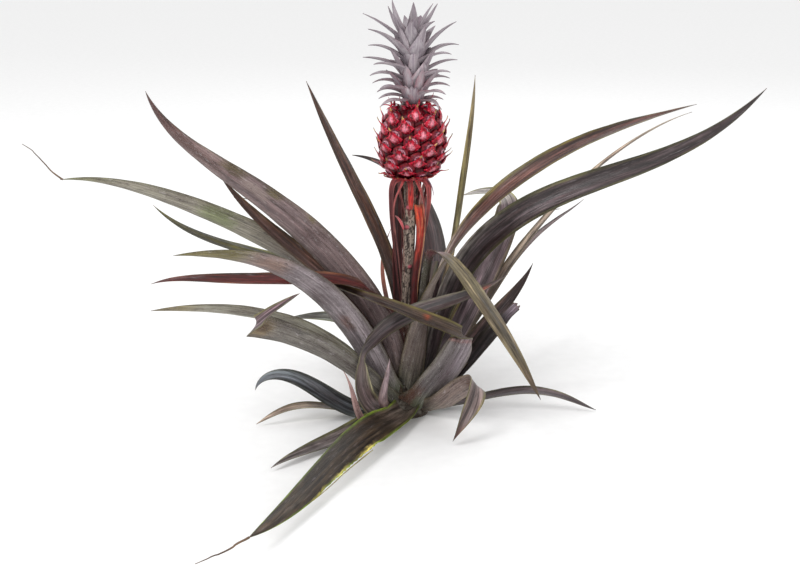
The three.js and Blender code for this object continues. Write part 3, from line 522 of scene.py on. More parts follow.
def settle(sp):
    d = unit(sp["d"])
    step = sp["ell"][1] - sp["ell"][0]
    mid = unit(d[1:] + d[:-1])
    sp["P"] = np.vstack([np.zeros(3), np.cumsum(mid, 0) * step]) + np.asarray(sp["foot"], float)
    if "shift" in sp:
        sp["P"] = sp["P"] + sp["shift"]
    return sp


def blade(sp, look, seed, rows=120, cols=23, into=12.0, thick=1.0, ripple=0.8, ridge=0.14, clasp=1.0):
    """The two faces of a leaf from its spine, with colours. Returns what a Bag takes, in mm."""
    total = sp["ell"][-1]
    t = np.linspace(0, 1, rows)
    where = total * t
    if "bend" in sp:
        at, bend = sp["bend"]
        where = np.unique(np.concatenate([where, np.linspace(at - bend * 0.75, at + bend * 0.75, 22)]))
    where = np.unique(np.concatenate([where, total * (1 - np.array([0.001, 0.003, 0.006]))]))
    if into > 0:
        where = np.concatenate([np.linspace(-into, 0, 4)[:-1], where])
    grab = lambda key: np.stack([np.interp(where, sp["ell"], sp[key][:, i]) for i in range(3)], -1)
    P, d, b, n = grab("P"), unit(grab("d")), grab("b"), grab("n")
    b = unit(b - d * np.sum(b * d, -1, keepdims=True))
    n = unit(n - d * np.sum(n * d, -1, keepdims=True) - b * np.sum(n * b, -1, keepdims=True))
    below = np.minimum(where, 0)
    P = P + d * below[:, None]
    half = np.interp(where, sp["ell"], sp["half"])
    half = half * (1 + look.get("foot_wide", 0.26) * clasp * (1 - smooth(-2, 34, where)))
    half = half * (1 - look.get("slim", 0.0) * smooth(0.3, 0.6, where / total))
    half = np.maximum(half, look.get("blunt", 0.28))
    fold = np.interp(where, sp["ell"], sp["fold"]) + np.radians(24) * clasp * (1 - smooth(-4, 34, where))
    s = np.clip(where / total, 0, 1)
    u = np.sin(np.linspace(-1, 1, cols) * np.pi / 2) * 0.35 + np.linspace(-1, 1, cols) * 0.65
    S, U = np.meshgrid(s, u, indexing="ij")
    E = np.repeat(where[:, None], cols, 1)
    H = np.repeat(half[:, None], cols, 1)
    # Each margin has its own wear.
    left = np.ones_like(where)
    right = np.ones_like(where)
    for s0, s1, side, depth, jag in look.get("notch", ()):
        soft = min(0.012, (s1 - s0) / 3)
        m = smooth(s0 - soft, s0 + soft, s) * (1 - smooth(s1 - soft, s1 + soft, s))
        rough = 1 - m * depth * (1 - jag + jag * 2 * fractal(where / 3.2, side * 7.1, seed + 5))
        if side < 0:
            left = left * rough
        else:
            right = right * rough
    for s0, spread, side, depth in look.get("rounded", ()):
        soft = 1 - depth * np.exp(-(((s - s0) / spread) ** 2))
        if side < 0:
            left = left * soft
        else:
            right = right * soft
    wear = 1 - 0.012 * fractal(where / 9, 0.5, seed + 3) * (half > 3)
    reach = np.where(U < 0, (left * wear)[:, None], (right * wear)[:, None])
    A = U * H * reach
    F = np.repeat(fold[:, None], cols, 1)
    V = np.abs(A) / np.maximum(H, 1e-6)
    lift = H * np.sin(F) * V**1.55
    across = A * np.cos(F)
    rip = (fractal(E / 46, 3.7 + np.sign(U), seed + 11) - 0.5) * 2 * ripple + (fractal(E / 17, 9.1 + np.sign(U), seed + 12) - 0.5) * 0.55 * ripple
    lift = lift + rip * V**2.2 * np.minimum(H / 8, 1) * smooth(15, 60, E)
    # Lengthwise ribs and the drying furrows between them
    ribs = (noise2(A / 1.9 + 50, E / 160, seed + 21) - 0.5) * 1.4 + (noise2(A / 4.6 + 80, E / 90, seed + 22) - 0.5) * 2.2
    lift = lift + ribs * ridge * (1 - V**6)
    lift = lift + 0.5 * (noise2(E / 30, A / 14, seed + 23) - 0.5) * np.minimum(H / 9, 1)
    if look.get("ragged"):
        amount = look["ragged"] * (fractal(A / 2.4, 1.3, seed + 31) - 0.6)
        push = smooth(0.93, 1.0, S) * amount
    else:
        push = np.zeros_like(S)
    T = thick * (1 - 0.62 * V**2.4) * np.minimum(0.32 + H / 9, 1)
    T = np.maximum(T, 0.28)
    mid = P[:, None] + b[:, None] * across[..., None] + n[:, None] * lift[..., None] + d[:, None] * push[..., None]
    upper = mid + n[:, None] * (T / 2)[..., None]
    lower = mid - n[:, None] * (T / 2)[..., None]
    upper[..., 2] = np.maximum(upper[..., 2], 0.35)
    lower[..., 2] = np.maximum(lower[..., 2], 0.05)
    # upper and lower must not meet where both are held at the ground
    upper[..., 2] = np.where((upper[..., 2] - lower[..., 2] < 0.05) & (lower[..., 2] < 0.06), 0.35, upper[..., 2])
    cu = tint(look, S, U, E, A, H, True, seed)
    cl = tint(look, S, U, E, A, H, False, seed)
    off = (seed * 0.37 % 3.0, seed * 0.113 % 1.0)
    uvu = np.stack([E * MM + off[0], A * MM + off[1]], -1)
    uvl = np.stack([E * MM + off[0] + 4, A * MM + off[1] + 2], -1)
    return upper * MM, lower * MM, cu, cl, uvu, uvl, dict(P=P, d=d, b=b, n=n, where=where, half=half)


def lerp(a, b, w):
    w = np.asarray(w)[..., None]
    return a * (1 - w) + b * w


def tint(look, S, U, E, A, H, top, seed):
    """Colour of a leaf face in linear light: s along, u across, upper face or underside."""
    get = lambda key, other: linear(*look.get(key, other))
    base = get("base", (112, 112, 98))
    edge = get("edge", (92, 88, 45))
    V = np.abs(U)
    if top:
        body = get("up", (70, 50, 44))
        end = get("tip_up", look.get("up", (70, 50, 44)))
        foot = lerp(base * 0.9, body, 0.25 * np.ones(1))
    else:
        body = get("un", (143, 130, 127))
        end = get("tip_un", look.get("un", (143, 130, 127)))
        foot = base
    shape = S.shape + (3,)
    c = np.broadcast_to(body, shape).copy()
    wobble = (fractal(E / 22, A / 6, seed + 41) - 0.5)
    c = lerp(np.broadcast_to(foot, shape), c, smooth(8, look.get("base_to", 48), E + 16 * wobble))
    c = lerp(c, np.broadcast_to(end, shape), smooth(look.get("tip_from", 0.84), min(look.get("tip_from", 0.84) + 0.12, 1.0), S + 0.04 * wobble))
    if top:
        # the middle carries lighter lilac streaks of painted sheen along the valley, the margins are green to olive
        lines = noise2(A / 1.3 + 31, E / 70, seed + 43)
        c = c * (1 + (0.5 * (lines - 0.5) * (1 - V))[..., None])
        # painted sheen: a lilac-grey reflection painted in streaks down the valley of the upper face, its strength set
        # per leaf
        c = lerp(c, np.broadcast_to(linear(128, 116, 122), shape), look.get("valley_sheen", 0.16) * (1 - smooth(0.1, 0.75, V)) * smooth(0.35, 0.75, fractal(A / 3.2 + 9, E / 60, seed + 44)))
        band = smooth(look.get("edge_in", 0.66), look.get("edge_in", 0.66) + 0.26, V + 0.12 * wobble)
        c = lerp(c, np.broadcast_to(edge, shape), look.get("edge_up", 0.75) * band)
    else:
        lines = noise2(A / 1.1 + 71, E / 90, seed + 45)
        c = c * (1 + (0.34 * (lines - 0.5))[..., None])
        band = smooth(0.7, 0.97, V + 0.1 * wobble)
        c = lerp(c, np.broadcast_to(edge, shape), look.get("edge_un", 0.38) * band)
        c = lerp(c, np.broadcast_to(linear(70, 56, 50), shape), 0.7 * smooth(0.95, 0.99, V))
    for s0, s1, u0, u1, colour, strength, face in look.get("marks", ()):
        if (face == "up" and not top) or (face == "un" and top):
            continue
        ragged = 0.35 * (fractal(E / 5.5, A / 2.6, seed + 51) - 0.5)
        ds = max((s1 - s0) * 0.3, 0.006)
        du = max((u1 - u0) * 0.3, 0.1)
        m = smooth(s0 - ds, s0 + ds, S + ragged * ds * 3) * (1 - smooth(s1 - ds, s1 + ds, S + ragged * ds * 3))
        m = m * smooth(u0 - du, u0 + du, U + ragged) * (1 - smooth(u1 - du, u1 + du, U + ragged))
        c = lerp(c, np.broadcast_to(linear(*colour), shape), strength * m)
    # clouded patches: darker where the wax has worn off, paler where it is thick
    worn = smooth(0.5, 0.78, fractal(E / 34 + 5, A / 3.4, seed + 61)) * smooth(0.3, 0.6, fractal(E / 9, A / 1.5, seed + 62))
    c = c * (1 - (0.42 if not top else 0.3) * worn)[..., None]
    waxy = smooth(0.56, 0.8, fractal(E / 50 + 9, A / 2.4, seed + 63))
    c = c * (1 + (0.16 if not top else 0.22) * waxy)[..., None]
    tone = np.broadcast_to(np.array(look.get("tone", (1.0, 1.0, 1.0))), shape)
    if "tip_tone" in look:
        tone = lerp(tone, np.broadcast_to(np.array(look["tip_tone"]), shape), smooth(look["turn"] - 0.02, look["turn"] + 0.02, S))
    c = c * tone
    # the very margin and the point dry to brown
    dry = linear(*look.get("dry", (88, 62, 44)))
    c = lerp(c, np.broadcast_to(dry, shape), 0.85 * smooth(0.985, 1.0, S))
    return np.clip(c, 0.002, 0.95)


def put(bag, made, upper=0, lower=1, rim=0):
    pu, pl, cu, cl, uvu, uvl, _ = made
    bag.grid(pu, cu, uvu, upper)
    bag.grid(pl, cl, uvl, lower, flip=True)
    close_strip(bag, pu, pl, cu * 0.85, cl, uvu, uvl, rim)


def tube(bag, points, radii, colour, material=0, sides=8, seed=0):
    """A closed tapering thread through points (mm)."""
    points = np.asarray(points, float)
    radii = np.asarray(radii, float)
    d = unit(np.gradient(points, axis=0))
    ref = np.array([0.3, 0.2, 0.93])
    a = unit(np.cross(d, ref))
    b = np.cross(d, a)
    ang = np.linspace(0, 2 * np.pi, sides, endpoint=False)
    ring = points[:, None] + radii[:, None, None] * (np.cos(ang)[None, :, None] * a[:, None] + np.sin(ang)[None, :, None] * b[:, None])
    ring[..., 2] = np.maximum(ring[..., 2], 0.05)
    length = np.concatenate([[0], np.cumsum(np.linalg.norm(np.diff(points, axis=0), axis=1))])
    uv = np.stack([np.repeat(length[:, None], sides, 1), np.repeat(ang[None] * radii.max(), len(points), 0)], -1) * MM
    colour = np.broadcast_to(np.asarray(colour, float), (len(points), 3)) if np.ndim(colour) == 1 else np.asarray(colour)
    C = np.repeat(colour[:, None], sides, 1)
    bag.grid(ring * MM, C, uv, material, close=True, flip=True)
    for end, turn in ((0, False), (-1, True)):
        face = [list(range(sides))] if not turn else [list(range(sides))[::-1]]
        bag.add(ring[end] * MM, C[end], uv[end], face, material)


def curved(a, b, sag, n=16, wave=0.0, seed=0):
    """Points from a to b that bow by sag, with a little wander."""
    a, b, sag = (np.asarray(v, float) for v in (a, b, sag))
    t = np.linspace(0, 1, n)[:, None]
    p = a + (b - a) * t + sag * 4 * t * (1 - t)
    w = np.stack([fractal(t[:, 0] * 5, k * 3.3, seed + k) - 0.5 for k in range(3)], -1)
    return p + w * wave * np.sin(np.pi * t)


LOOKS = {
    "leaf_01": dict(un=(142, 128, 130), tip_un=(112, 82, 80), tip_from=0.8, marks=((0.74, 0.9, -0.6, 0.6, (100, 74, 62), 0.5, "un"), (0.6, 0.64, 0.5, 1, (96, 92, 44), 0.8, "un"), (0.7, 0.76, 0.3, 1, (92, 86, 44), 0.8, "un"), (0.5, 0.52, 0.7, 1, (96, 92, 44), 0.7, "un"), (0.62, 0.7, -0.2, 0.5, (170, 164, 158), 0.5, "un")), tone=(0.68, 0.6, 0.57)),
    "leaf_02": dict(un=(152, 148, 142), tip_un=(140, 146, 112), tip_from=0.86, edge=(110, 114, 66), marks=((0.6, 0.68, -0.9, 0.9, (122, 140, 84), 0.6, "un"), (0.2, 0.45, -0.6, 0.6, (158, 150, 152), 0.4, "un")), dry=(96, 72, 52), tone=(0.75, 0.73, 0.63)),
    "leaf_03": dict(up=(72, 56, 46), un=(130, 120, 118), edge=(84, 76, 42), valley_sheen=0.3, tone=(0.81, 0.59, 0.5)),
    "leaf_04": dict(up=(95, 84, 38), un=(132, 126, 108), edge=(104, 98, 44), valley_sheen=0.05, tone=(0.31, 0.36, 0.18)),
    "leaf_05": dict(un=(140, 128, 125), tip_un=(122, 112, 66), tip_from=0.72, marks=((0.64, 0.76, -0.7, 0.9, (128, 92, 62), 0.6, "un"), (0.3, 0.36, -0.4, 0.2, (110, 66, 44), 0.6, "un"), (0.42, 0.5, -0.6, 0.6, (60, 48, 44), 0.25, "un")), base=(118, 120, 96), tone=(0.8, 0.82, 0.91)),
    "leaf_06": dict(up=(92, 50, 38), un=(98, 58, 46), edge=(112, 102, 50), edge_up=0.7, edge_un=0.6, base=(96, 70, 60), valley_sheen=0.04, tone=(0.64, 0.32, 0.44)),
    "leaf_07": dict(un=(146, 143, 128), tip_un=(120, 110, 84), tip_from=0.8, marks=((0.5, 0.62, -0.8, 0.2, (106, 108, 64), 0.5, "un"),)),
    "leaf_08": dict(un=(125, 120, 112), up=(78, 60, 60), tip_up=(78, 60, 60), marks=((0.72, 0.84, -0.8, 0.8, (128, 104, 56), 0.65, "un"), (0.74, 0.8, -0.3, 0.5, (74, 52, 38), 0.7, "both")), tone=(0.77, 0.77, 0.77), tip_tone=(1.32, 1.41, 1.52)),
    "leaf_09": dict(up=(96, 92, 90), un=(128, 124, 118), edge=(84, 78, 50), tone=(2.02, 2.4, 2.16)),
    "leaf_10": dict(up=(86, 83, 82), un=(112, 108, 108), edge=(70, 66, 52), tone=(0.84, 1.03, 1.13)),
    "leaf_11": dict(up=(124, 106, 92), un=(128, 116, 100), edge=(104, 100, 54), tone=(1.08, 1.16, 1.17)),
    "leaf_12": dict(up=(90, 82, 80), un=(120, 112, 112), edge=(96, 100, 52)),
    "leaf_13": dict(up=(58, 44, 38), un=(120, 110, 104), edge=(140, 166, 52), edge_up=0.98, edge_in=0.8, thick=1.3, valley_sheen=0.34, base=(112, 98, 106), base_to=100, marks=((0.34, 0.44, 0.8, 1, (206, 184, 120), 0.8, "up"), (0.5, 0.58, 0.82, 1, (206, 188, 124), 0.8, "up"), (0.62, 0.7, 0.84, 1, (196, 180, 112), 0.7, "up"), (0.0, 0.16, -0.5, 0.5, (122, 108, 118), 0.4, "up"), (0.2, 0.75, -0.6, 0.6, (40, 30, 27), 0.45, "up")), strips=((0.34, 0.56, 1, 0.02, 0.7), (0.5, 0.68, 1, 0.05, 0.55)), notch=((0.3, 0.66, 1, 0.09, 0.9),), tone=(0.77, 0.81, 0.57)),
    "leaf_14": dict(up=(80, 50, 42), un=(134, 124, 120), edge=(104, 98, 44), edge_up=0.9, edge_in=0.6, base=(118, 118, 108), base_to=60, marks=((0.08, 0.4, 0.45, 1, (196, 184, 180), 0.75, "up"),), tone=(0.82, 0.76, 0.7)),
    "leaf_15": dict(up=(68, 52, 54), un=(156, 148, 148), edge=(92, 90, 48), valley_sheen=0.3, base=(112, 112, 108), base_to=70, marks=((0.82, 0.92, -0.6, 0.6, (158, 150, 152), 0.5, "un"), (0.12, 0.38, 0.5, 1, (176, 164, 162), 0.75, "up")), tone=(0.6, 0.64, 0.62)),
    "leaf_16": dict(up=(105, 92, 90), un=(140, 131, 128), tip_un=(140, 131, 128), edge=(100, 92, 56), tone=(0.78, 0.75, 0.84), tip_tone=(2.16, 2.67, 2.57)),
    "leaf_17": dict(up=(108, 92, 94), un=(138, 126, 124), edge=(96, 88, 54), valley_sheen=0.35, tone=(0.26, 0.17, 0.17)),
    "leaf_18": dict(up=(138, 128, 92), un=(138, 128, 96), edge=(112, 104, 58), valley_sheen=0.05, marks=((0.1, 0.35, -1, 1, (134, 100, 84), 0.7, "both"), (0.45, 0.75, -1, 1, (124, 126, 80), 0.5, "both")), tone=(1.05, 1.0, 0.95)),
    "leaf_19": dict(up=(136, 124, 110), un=(138, 126, 114), edge=(104, 92, 60), valley_sheen=0.1, slim=0.4, tone=(1.0, 0.98, 0.95)),
    "leaf_20": dict(up=(100, 82, 75), un=(128, 112, 104), edge=(96, 84, 52), tone=(0.43, 0.35, 0.41)),
    "leaf_21": dict(up=(72, 58, 54), un=(122, 112, 108), edge=(80, 74, 46), tone=(0.79, 0.65, 0.66)),
    "leaf_22": dict(up=(48, 42, 36), un=(110, 104, 96), tip_up=(172, 168, 168), tip_from=0.84, edge=(62, 60, 36), ragged=11, blunt=5.5, tone=(0.54, 0.45, 0.54)),
    "leaf_23": dict(up=(90, 78, 76), un=(122, 112, 108), edge=(96, 92, 54), tone=(0.69, 0.7, 0.76)),
    "leaf_24": dict(up=(80, 56, 44), un=(120, 104, 92), edge=(104, 92, 54), edge_up=0.45, edge_in=0.6, tone=(0.62, 0.55, 0.5)),
    "leaf_25": dict(rounded=((0.41, 0.045, 1, 0.5),), un=(116, 107, 106), up=(70, 58, 46), tip_up=(66, 54, 44), edge=(98, 94, 48), foot_wide=0.5, marks=((0.556, 0.572, -0.7, -0.1, (150, 70, 40), 0.7, "up"), (0.388, 0.405, -1, 1, (150, 84, 76), 0.5, "both"), (0.2, 0.4, -0.2, 1, (138, 122, 132), 0.5, "un"), (0.0, 0.12, -1, -0.45, (104, 58, 44), 0.75, "un")), base=(104, 106, 86), tone=(0.87, 0.91, 0.91), tip_tone=(0.73, 0.67, 0.65)),
    "leaf_26": dict(un=(112, 101, 100), up=(72, 62, 58), tip_up=(72, 62, 58), edge=(92, 90, 66), base=(119, 110, 110), base_to=60, marks=((0.86, 0.92, -0.6, 0.6, (150, 84, 60), 0.6, "up"), (0.0, 0.03, -1, 1, (52, 40, 34), 0.6, "both")), tip_tone=(0.74, 0.7, 0.77), tone=(1.6, 1.6, 1.6)),
    "leaf_27": dict(up=(126, 118, 86), un=(126, 112, 84), tip_up=(116, 100, 72), edge=(112, 104, 62), edge_up=0.4, valley_sheen=0.03, base=(84, 56, 56), base_to=150, marks=((0.38, 0.46, -1, 1, (168, 84, 100), 0.6, "both"),), tone=(0.35, 0.42, 0.5), tip_tone=(0.53, 0.5, 0.55)),
    "leaf_28": dict(un=(118, 104, 98), up=(112, 98, 94), tip_un=(91, 65, 56), tip_up=(96, 66, 56), tip_from=0.84, marks=((0.52, 0.6, -0.5, 0.4, (84, 56, 44), 0.7, "both"),), base=(104, 98, 86), tip_tone=(0.92, 0.92, 0.92), tone=(1.18, 1.14, 1.12)),
    "leaf_29": dict(up=(85, 62, 45), un=(112, 84, 64), edge=(120, 96, 50), tone=(1.56, 0.92, 1.1)),
    "leaf_30": dict(up=(40, 30, 29), un=(58, 44, 42), edge=(52, 40, 32), valley_sheen=0.02, tone=(0.58, 0.4, 0.58)),
    "leaf_31": dict(up=(136, 110, 104), un=(150, 125, 118), edge=(112, 90, 72), base=(150, 128, 120), tone=(1.53, 1.43, 1.49)),
    "leaf_32": dict(up=(112, 92, 90), un=(123, 104, 102), edge=(96, 78, 64), base=(124, 100, 92), tone=(1.99, 2.1, 2.34)),
    "leaf_33": dict(up=(78, 60, 52), un=(138, 128, 124), tone=(0.8, 0.78, 0.78)),
    "leaf_34": dict(up=(66, 56, 44), un=(132, 124, 116), edge=(98, 96, 50), tone=(0.8, 0.78, 0.78)),
    "leaf_35": dict(up=(82, 66, 58), un=(142, 130, 128), tone=(0.8, 0.78, 0.78)),
    "leaf_36": dict(up=(70, 52, 46), un=(136, 126, 122), edge=(92, 92, 48), tone=(0.8, 0.78, 0.78)),
    "leaf_37": dict(up=(76, 64, 54), un=(140, 130, 124), tone=(0.8, 0.78, 0.78)),
    "leaf_38": dict(up=(88, 74, 64), un=(136, 128, 120), edge=(100, 96, 52), tone=(0.8, 0.78, 0.78)),
    "leaf_39": dict(up=(74, 54, 50), un=(140, 128, 126), tone=(0.8, 0.78, 0.78)),
    "leaf_40": dict(up=(82, 62, 54), un=(134, 124, 122), tone=(0.8, 0.78, 0.78)),
}
# length of the bend, whether the far part turns over, waist, widening in mm
BENDS = {
    "leaf_08": (13, False, 0.0, 3.5),
    "leaf_16": (22, False, 0.0, 0.0),
    "leaf_25": (15, False, 0.0, 0.0),
    "leaf_26": (20, False, 0.5, 0.0),
    "leaf_27": (24, False, 0.0, 0.0),
    "leaf_28": (16, False, 0.0, 1.5),
}

by_name = {row[0]: row for row in LEAVES}
leaf_names = sorted({row[0].replace("_base", "").replace("_tip", "") for row in LEAVES})
for name in leaf_names:
    seed = int(name[-2:])
    look = LOOKS.get(name, {})
    if name in BENDS:
        sp = settle(joined(spine(by_name[name + "_base"]), spine(by_name[name + "_tip"]), *BENDS[name]))
        look = dict(look, turn=sp["bend"][0] / sp["ell"][-1])
        nodes = [name + "_base", name + "_tip"]
    else:
        sp = settle(spine(by_name[name]))
        nodes = [name]
    total = sp["ell"][-1]
    wide = float(np.max(sp["half"]))
    rows = int(np.clip(total / 3.2, 40, 160))
    cols = 23 if wide > 10 else (17 if wide > 6 else 11)
    bag = Bag()
    made = blade(sp, look, seed, rows, cols, thick=look.get("thick", 1.15), ripple=look.get("ripple", 0.9), into=look.get("into", 12.0), ridge=look.get("ridge", 0.26))
    put(bag, made)
    if name in THREADS:
        info = made[6]
        start = info["P"][-4]
        end = np.array(THREADS[name], float)
        if name == "leaf_02":
            path = np.vstack([curved(start, start + (end - start) * 0.45, (0, 0, -1.5), 10, 1.0, 3), curved(start + (end - start) * 0.45, end, (0, 0, 2.0), 12, 1.5, 8)[1:]])
            radii = np.interp(np.linspace(0, 1, len(path)), [0, 0.3, 1], [1.0, 0.7, 0.3])
            tube(bag, path, radii, linear(104, 80, 58), 0, 7)
        else:
            path = curved(start, end, (2, -3, 1), 24, 3.0, 5)
            radii = np.interp(np.linspace(0, 1, len(path)), [0, 0.5, 1], [1.1, 0.8, 0.35])
            tube(bag, path, radii, linear(98, 74, 50), 0, 7)
    for extra in look.get("strips", ()):
        # torn strips of the margin that hang free: s from, s to, side, how far they stand off, width
        s0, s1, side, off, width = extra
        info = made[6]
        i0, i1 = (int(np.argmin(np.abs(info["where"] - q * total))) for q in (s0, s1))
        k = np.arange(i0, i1 + 1)
        w = np.linspace(0, 1, len(k))
        bow = np.sin(np.pi * w * 0.93)
        centre = info["P"][k] + info["b"][k] * (side * info["half"][k] * (1.0 + off * bow))[:, None] - info["n"][k] * (bow * 1.5)[:, None]
        centre[:, 2] = np.maximum(centre[:, 2], 0.8)
        tube(bag, centre, np.interp(w, [0, 0.2, 0.8, 1], [width * 0.5, width, width * 0.8, 0.25]), linear(178, 166, 96), 0, 6)
    ob = bag.object(name, [leaf_upper, leaf_under], 55)
    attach(ob, "root")
    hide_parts(*nodes)


# ---------------------------------------------------------------------------------------------------------
# Stem: the short woody foot that the leaves clasp, cut flat at the ground
stem_skin = simple_material("stem_skin", 0.72, 700, 0.5, 0.25, 0.35)
stalk_skin = simple_material("stalk_skin", 0.66, 1100, 0.4, 0.3, 0.28)
bract_skin = simple_material("bract_skin", 0.5, 1300, 0.3, 0.4, 0.2)


def turned(bag, heights, radius, colour, cols, material=0, relief=None, middle=True):
    """A closed turned body round the plant's middle line; relief adds to the radius."""
    z = np.asarray(heights, float)
    a = np.linspace(0, 2 * np.pi, cols, endpoint=False)
    Z, A = np.meshgrid(z, a, indexing="ij")
    R = np.repeat(np.asarray(radius, float)[:, None], cols, 1)
    if relief is not None:
        R = R + relief(Z, A)
    cx = axis_x(Z) if middle else np.zeros_like(Z)
    P = np.stack([cx + R * np.cos(A), R * np.sin(A), Z], -1)
    C = colour(Z, A)
    UV = np.stack([Z, A * R.mean()], -1) * MM
    bag.grid(P * MM, C, UV, material, close=True)
    ring = list(range(cols))
    bag.add(P[0] * MM, C[0], UV[0], [ring[::-1]], material)
    bag.add(P[-1] * MM, C[-1], UV[-1], [ring], material)


def stem_colour(Z, A):
    shape = Z.shape + (3,)
    w = fractal(A * 3.2, Z / 7, 3)
    c = lerp(np.broadcast_to(linear(66, 60, 52), shape), np.broadcast_to(linear(112, 108, 98), shape), smooth(0.35, 0.7, w))
    c = lerp(c, np.broadcast_to(linear(44, 32, 26), shape), smooth(0.55, 0.8, fractal(A * 9, Z / 3, 9)))
    scar = 0.5 + 0.5 * np.cos(2 * np.pi * (Z + 2.2 * np.sin(A * 2 + Z / 9)) / 6.2)
    return lerp(c, np.broadcast_to(linear(54, 38, 30), shape), 0.7 * scar**6)


def stem_relief(Z, A):
    scar = 0.5 + 0.5 * np.cos(2 * np.pi * (Z + 2.2 * np.sin(A * 2 + Z / 9)) / 6.2)
    return -0.6 * scar**4 + 0.7 * (fractal(A * 6, Z / 4, 5) - 0.5) - 0.3


bag = Bag()
z = np.linspace(0, 72, 70)
turned(bag, z, read(STEM, z), stem_colour, 96, relief=stem_relief)
ob = bag.object("stem_body", [stem_skin], 60)
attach(ob, "root")
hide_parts("stem")


# Stalk: ribbed and dry, with pale knots where old bracts came off, painted shade on the lower side of each knot, and
# thin red strips down it
def stalk_colour(Z, A):
    shape = Z.shape + (3,)
    w = fractal(A * 5, Z / 16, 13)
    c = lerp(np.broadcast_to(linear(122, 108, 98), shape), np.broadcast_to(linear(172, 156, 142), shape), smooth(0.3, 0.7, w))
    c = lerp(c, np.broadcast_to(linear(40, 32, 30), shape), 0.9 * smooth(0.54, 0.62, fractal(A * 7, Z / 1.7, 15)))
    c = lerp(c, np.broadcast_to(linear(34, 24, 22), shape), 0.85 * smooth(0.62, 0.7, noise2(A * 4.2, Z / 9, 17)))
    c = lerp(c, np.broadcast_to(linear(116, 60, 56), shape), 0.6 * smooth(0.66, 0.74, noise2(A * 2.4 + Z / 30, Z / 60, 19)))
    c = lerp(c, np.broadcast_to(linear(112, 52, 50), shape), 0.8 * (1 - smooth(74, 112, Z)))
    for zc, ac, r in ((229, -1.75, 4.6), (208, -2.1, 4.2), (165, -1.2, 3.6), (240, -0.2, 4), (180, 1.8, 5), (225, 2.4, 4.5), (140, 0.4, 4)):
        d = np.sqrt((Z - zc) ** 2 + (((A - ac + np.pi) % (2 * np.pi) - np.pi) * 6) ** 2)
        wavy = d + 2.0 * (fractal(A * 6, Z / 2.2, 27) - 0.5)
        c = lerp(c, np.broadcast_to(linear(188, 92, 104), shape), 0.85 * (1 - smooth(r * 0.45, r * 0.8, wavy)))
        # painted shade: the lower half of each raised knot is darker, as if shaded from above
        c = lerp(c, np.broadcast_to(linear(66, 28, 30), shape), 0.8 * smooth(0.3, 1.2, zc - Z) * (1 - smooth(r * 0.5, r * 0.95, wavy)))
    return c


def stalk_relief(Z, A):
    ribs = 0.22 * np.cos(A * 9 + Z / 34) + 0.14 * np.cos(A * 17 - Z / 21)
    knots = 0.0
    for zc, ac, r in ((229, -1.75, 4.6), (208, -2.1, 4.2), (165, -1.2, 3.6), (240, -0.2, 4), (180, 1.8, 5), (225, 2.4, 4.5), (140, 0.4, 4)):
        d = np.sqrt((Z - zc) ** 2 + (((A - ac + np.pi) % (2 * np.pi) - np.pi) * 6) ** 2)
        knots = knots + 0.8 * np.exp(-((d / (r * 0.6)) ** 2))
    return ribs + 0.3 * (fractal(A * 4, Z / 5, 25) - 0.5) + knots


bag = Bag()
z = np.linspace(62, 262, 220)
turned(bag, z, read(STALK, z), stalk_colour, 56, relief=stalk_relief)
ob = bag.object("stalk_body", [stalk_skin], 60)
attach(ob, "root")
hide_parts("stalk")


# Bracts that sheathe the stalk: name, foot, heading, length, width, pitch at the foot, pitch at the tip
BRACTS = [
    ("bract_left", (-6.2, 4.2, 108), 78, 148, 12.5, 91, 90),
    ("bract_right", (9.6, -6.3, 106), -40, 127, 11.5, 87, 86),
    ("bract_outer", (14.5, -1.5, 186), -6, 71, 9, 86, 82),
    ("bract_front", (7, -9.8, 228), -92, 29, 7, 88, 88),
    ("bract_back", (3, 10.2, 150), 96, 106, 12, 88, 87),
]
RIGHT_RIM = -1.0  # which side of the right bract dries tan
look_from = {"bract_left": (0.0, 0.2), "bract_right": (0.42, 0.74), "bract_outer": (0, 0.3), "bract_front": (0, 0.3), "bract_back": (0, 0.35)}
BRACT_LOOK = {
    "bract_left": dict(body=(58, 26, 28), rim=(128, 66, 66), rib=(46, 34, 28), foot=(70, 40, 38)),
    "bract_right": dict(body=(198, 66, 42), rim=(204, 152, 112), rib=(150, 34, 30), foot=(84, 34, 34)),
    "bract_outer": dict(body=(150, 92, 84), rim=(204, 150, 140), rib=(112, 60, 56), foot=(120, 70, 60)),
    "bract_front": dict(body=(184, 44, 40), rim=(222, 126, 112), rib=(120, 24, 30), foot=(150, 60, 50)),
    "bract_back": dict(body=(120, 60, 52), rim=(190, 130, 112), rib=(92, 84, 50), foot=(88, 66, 52)),
}


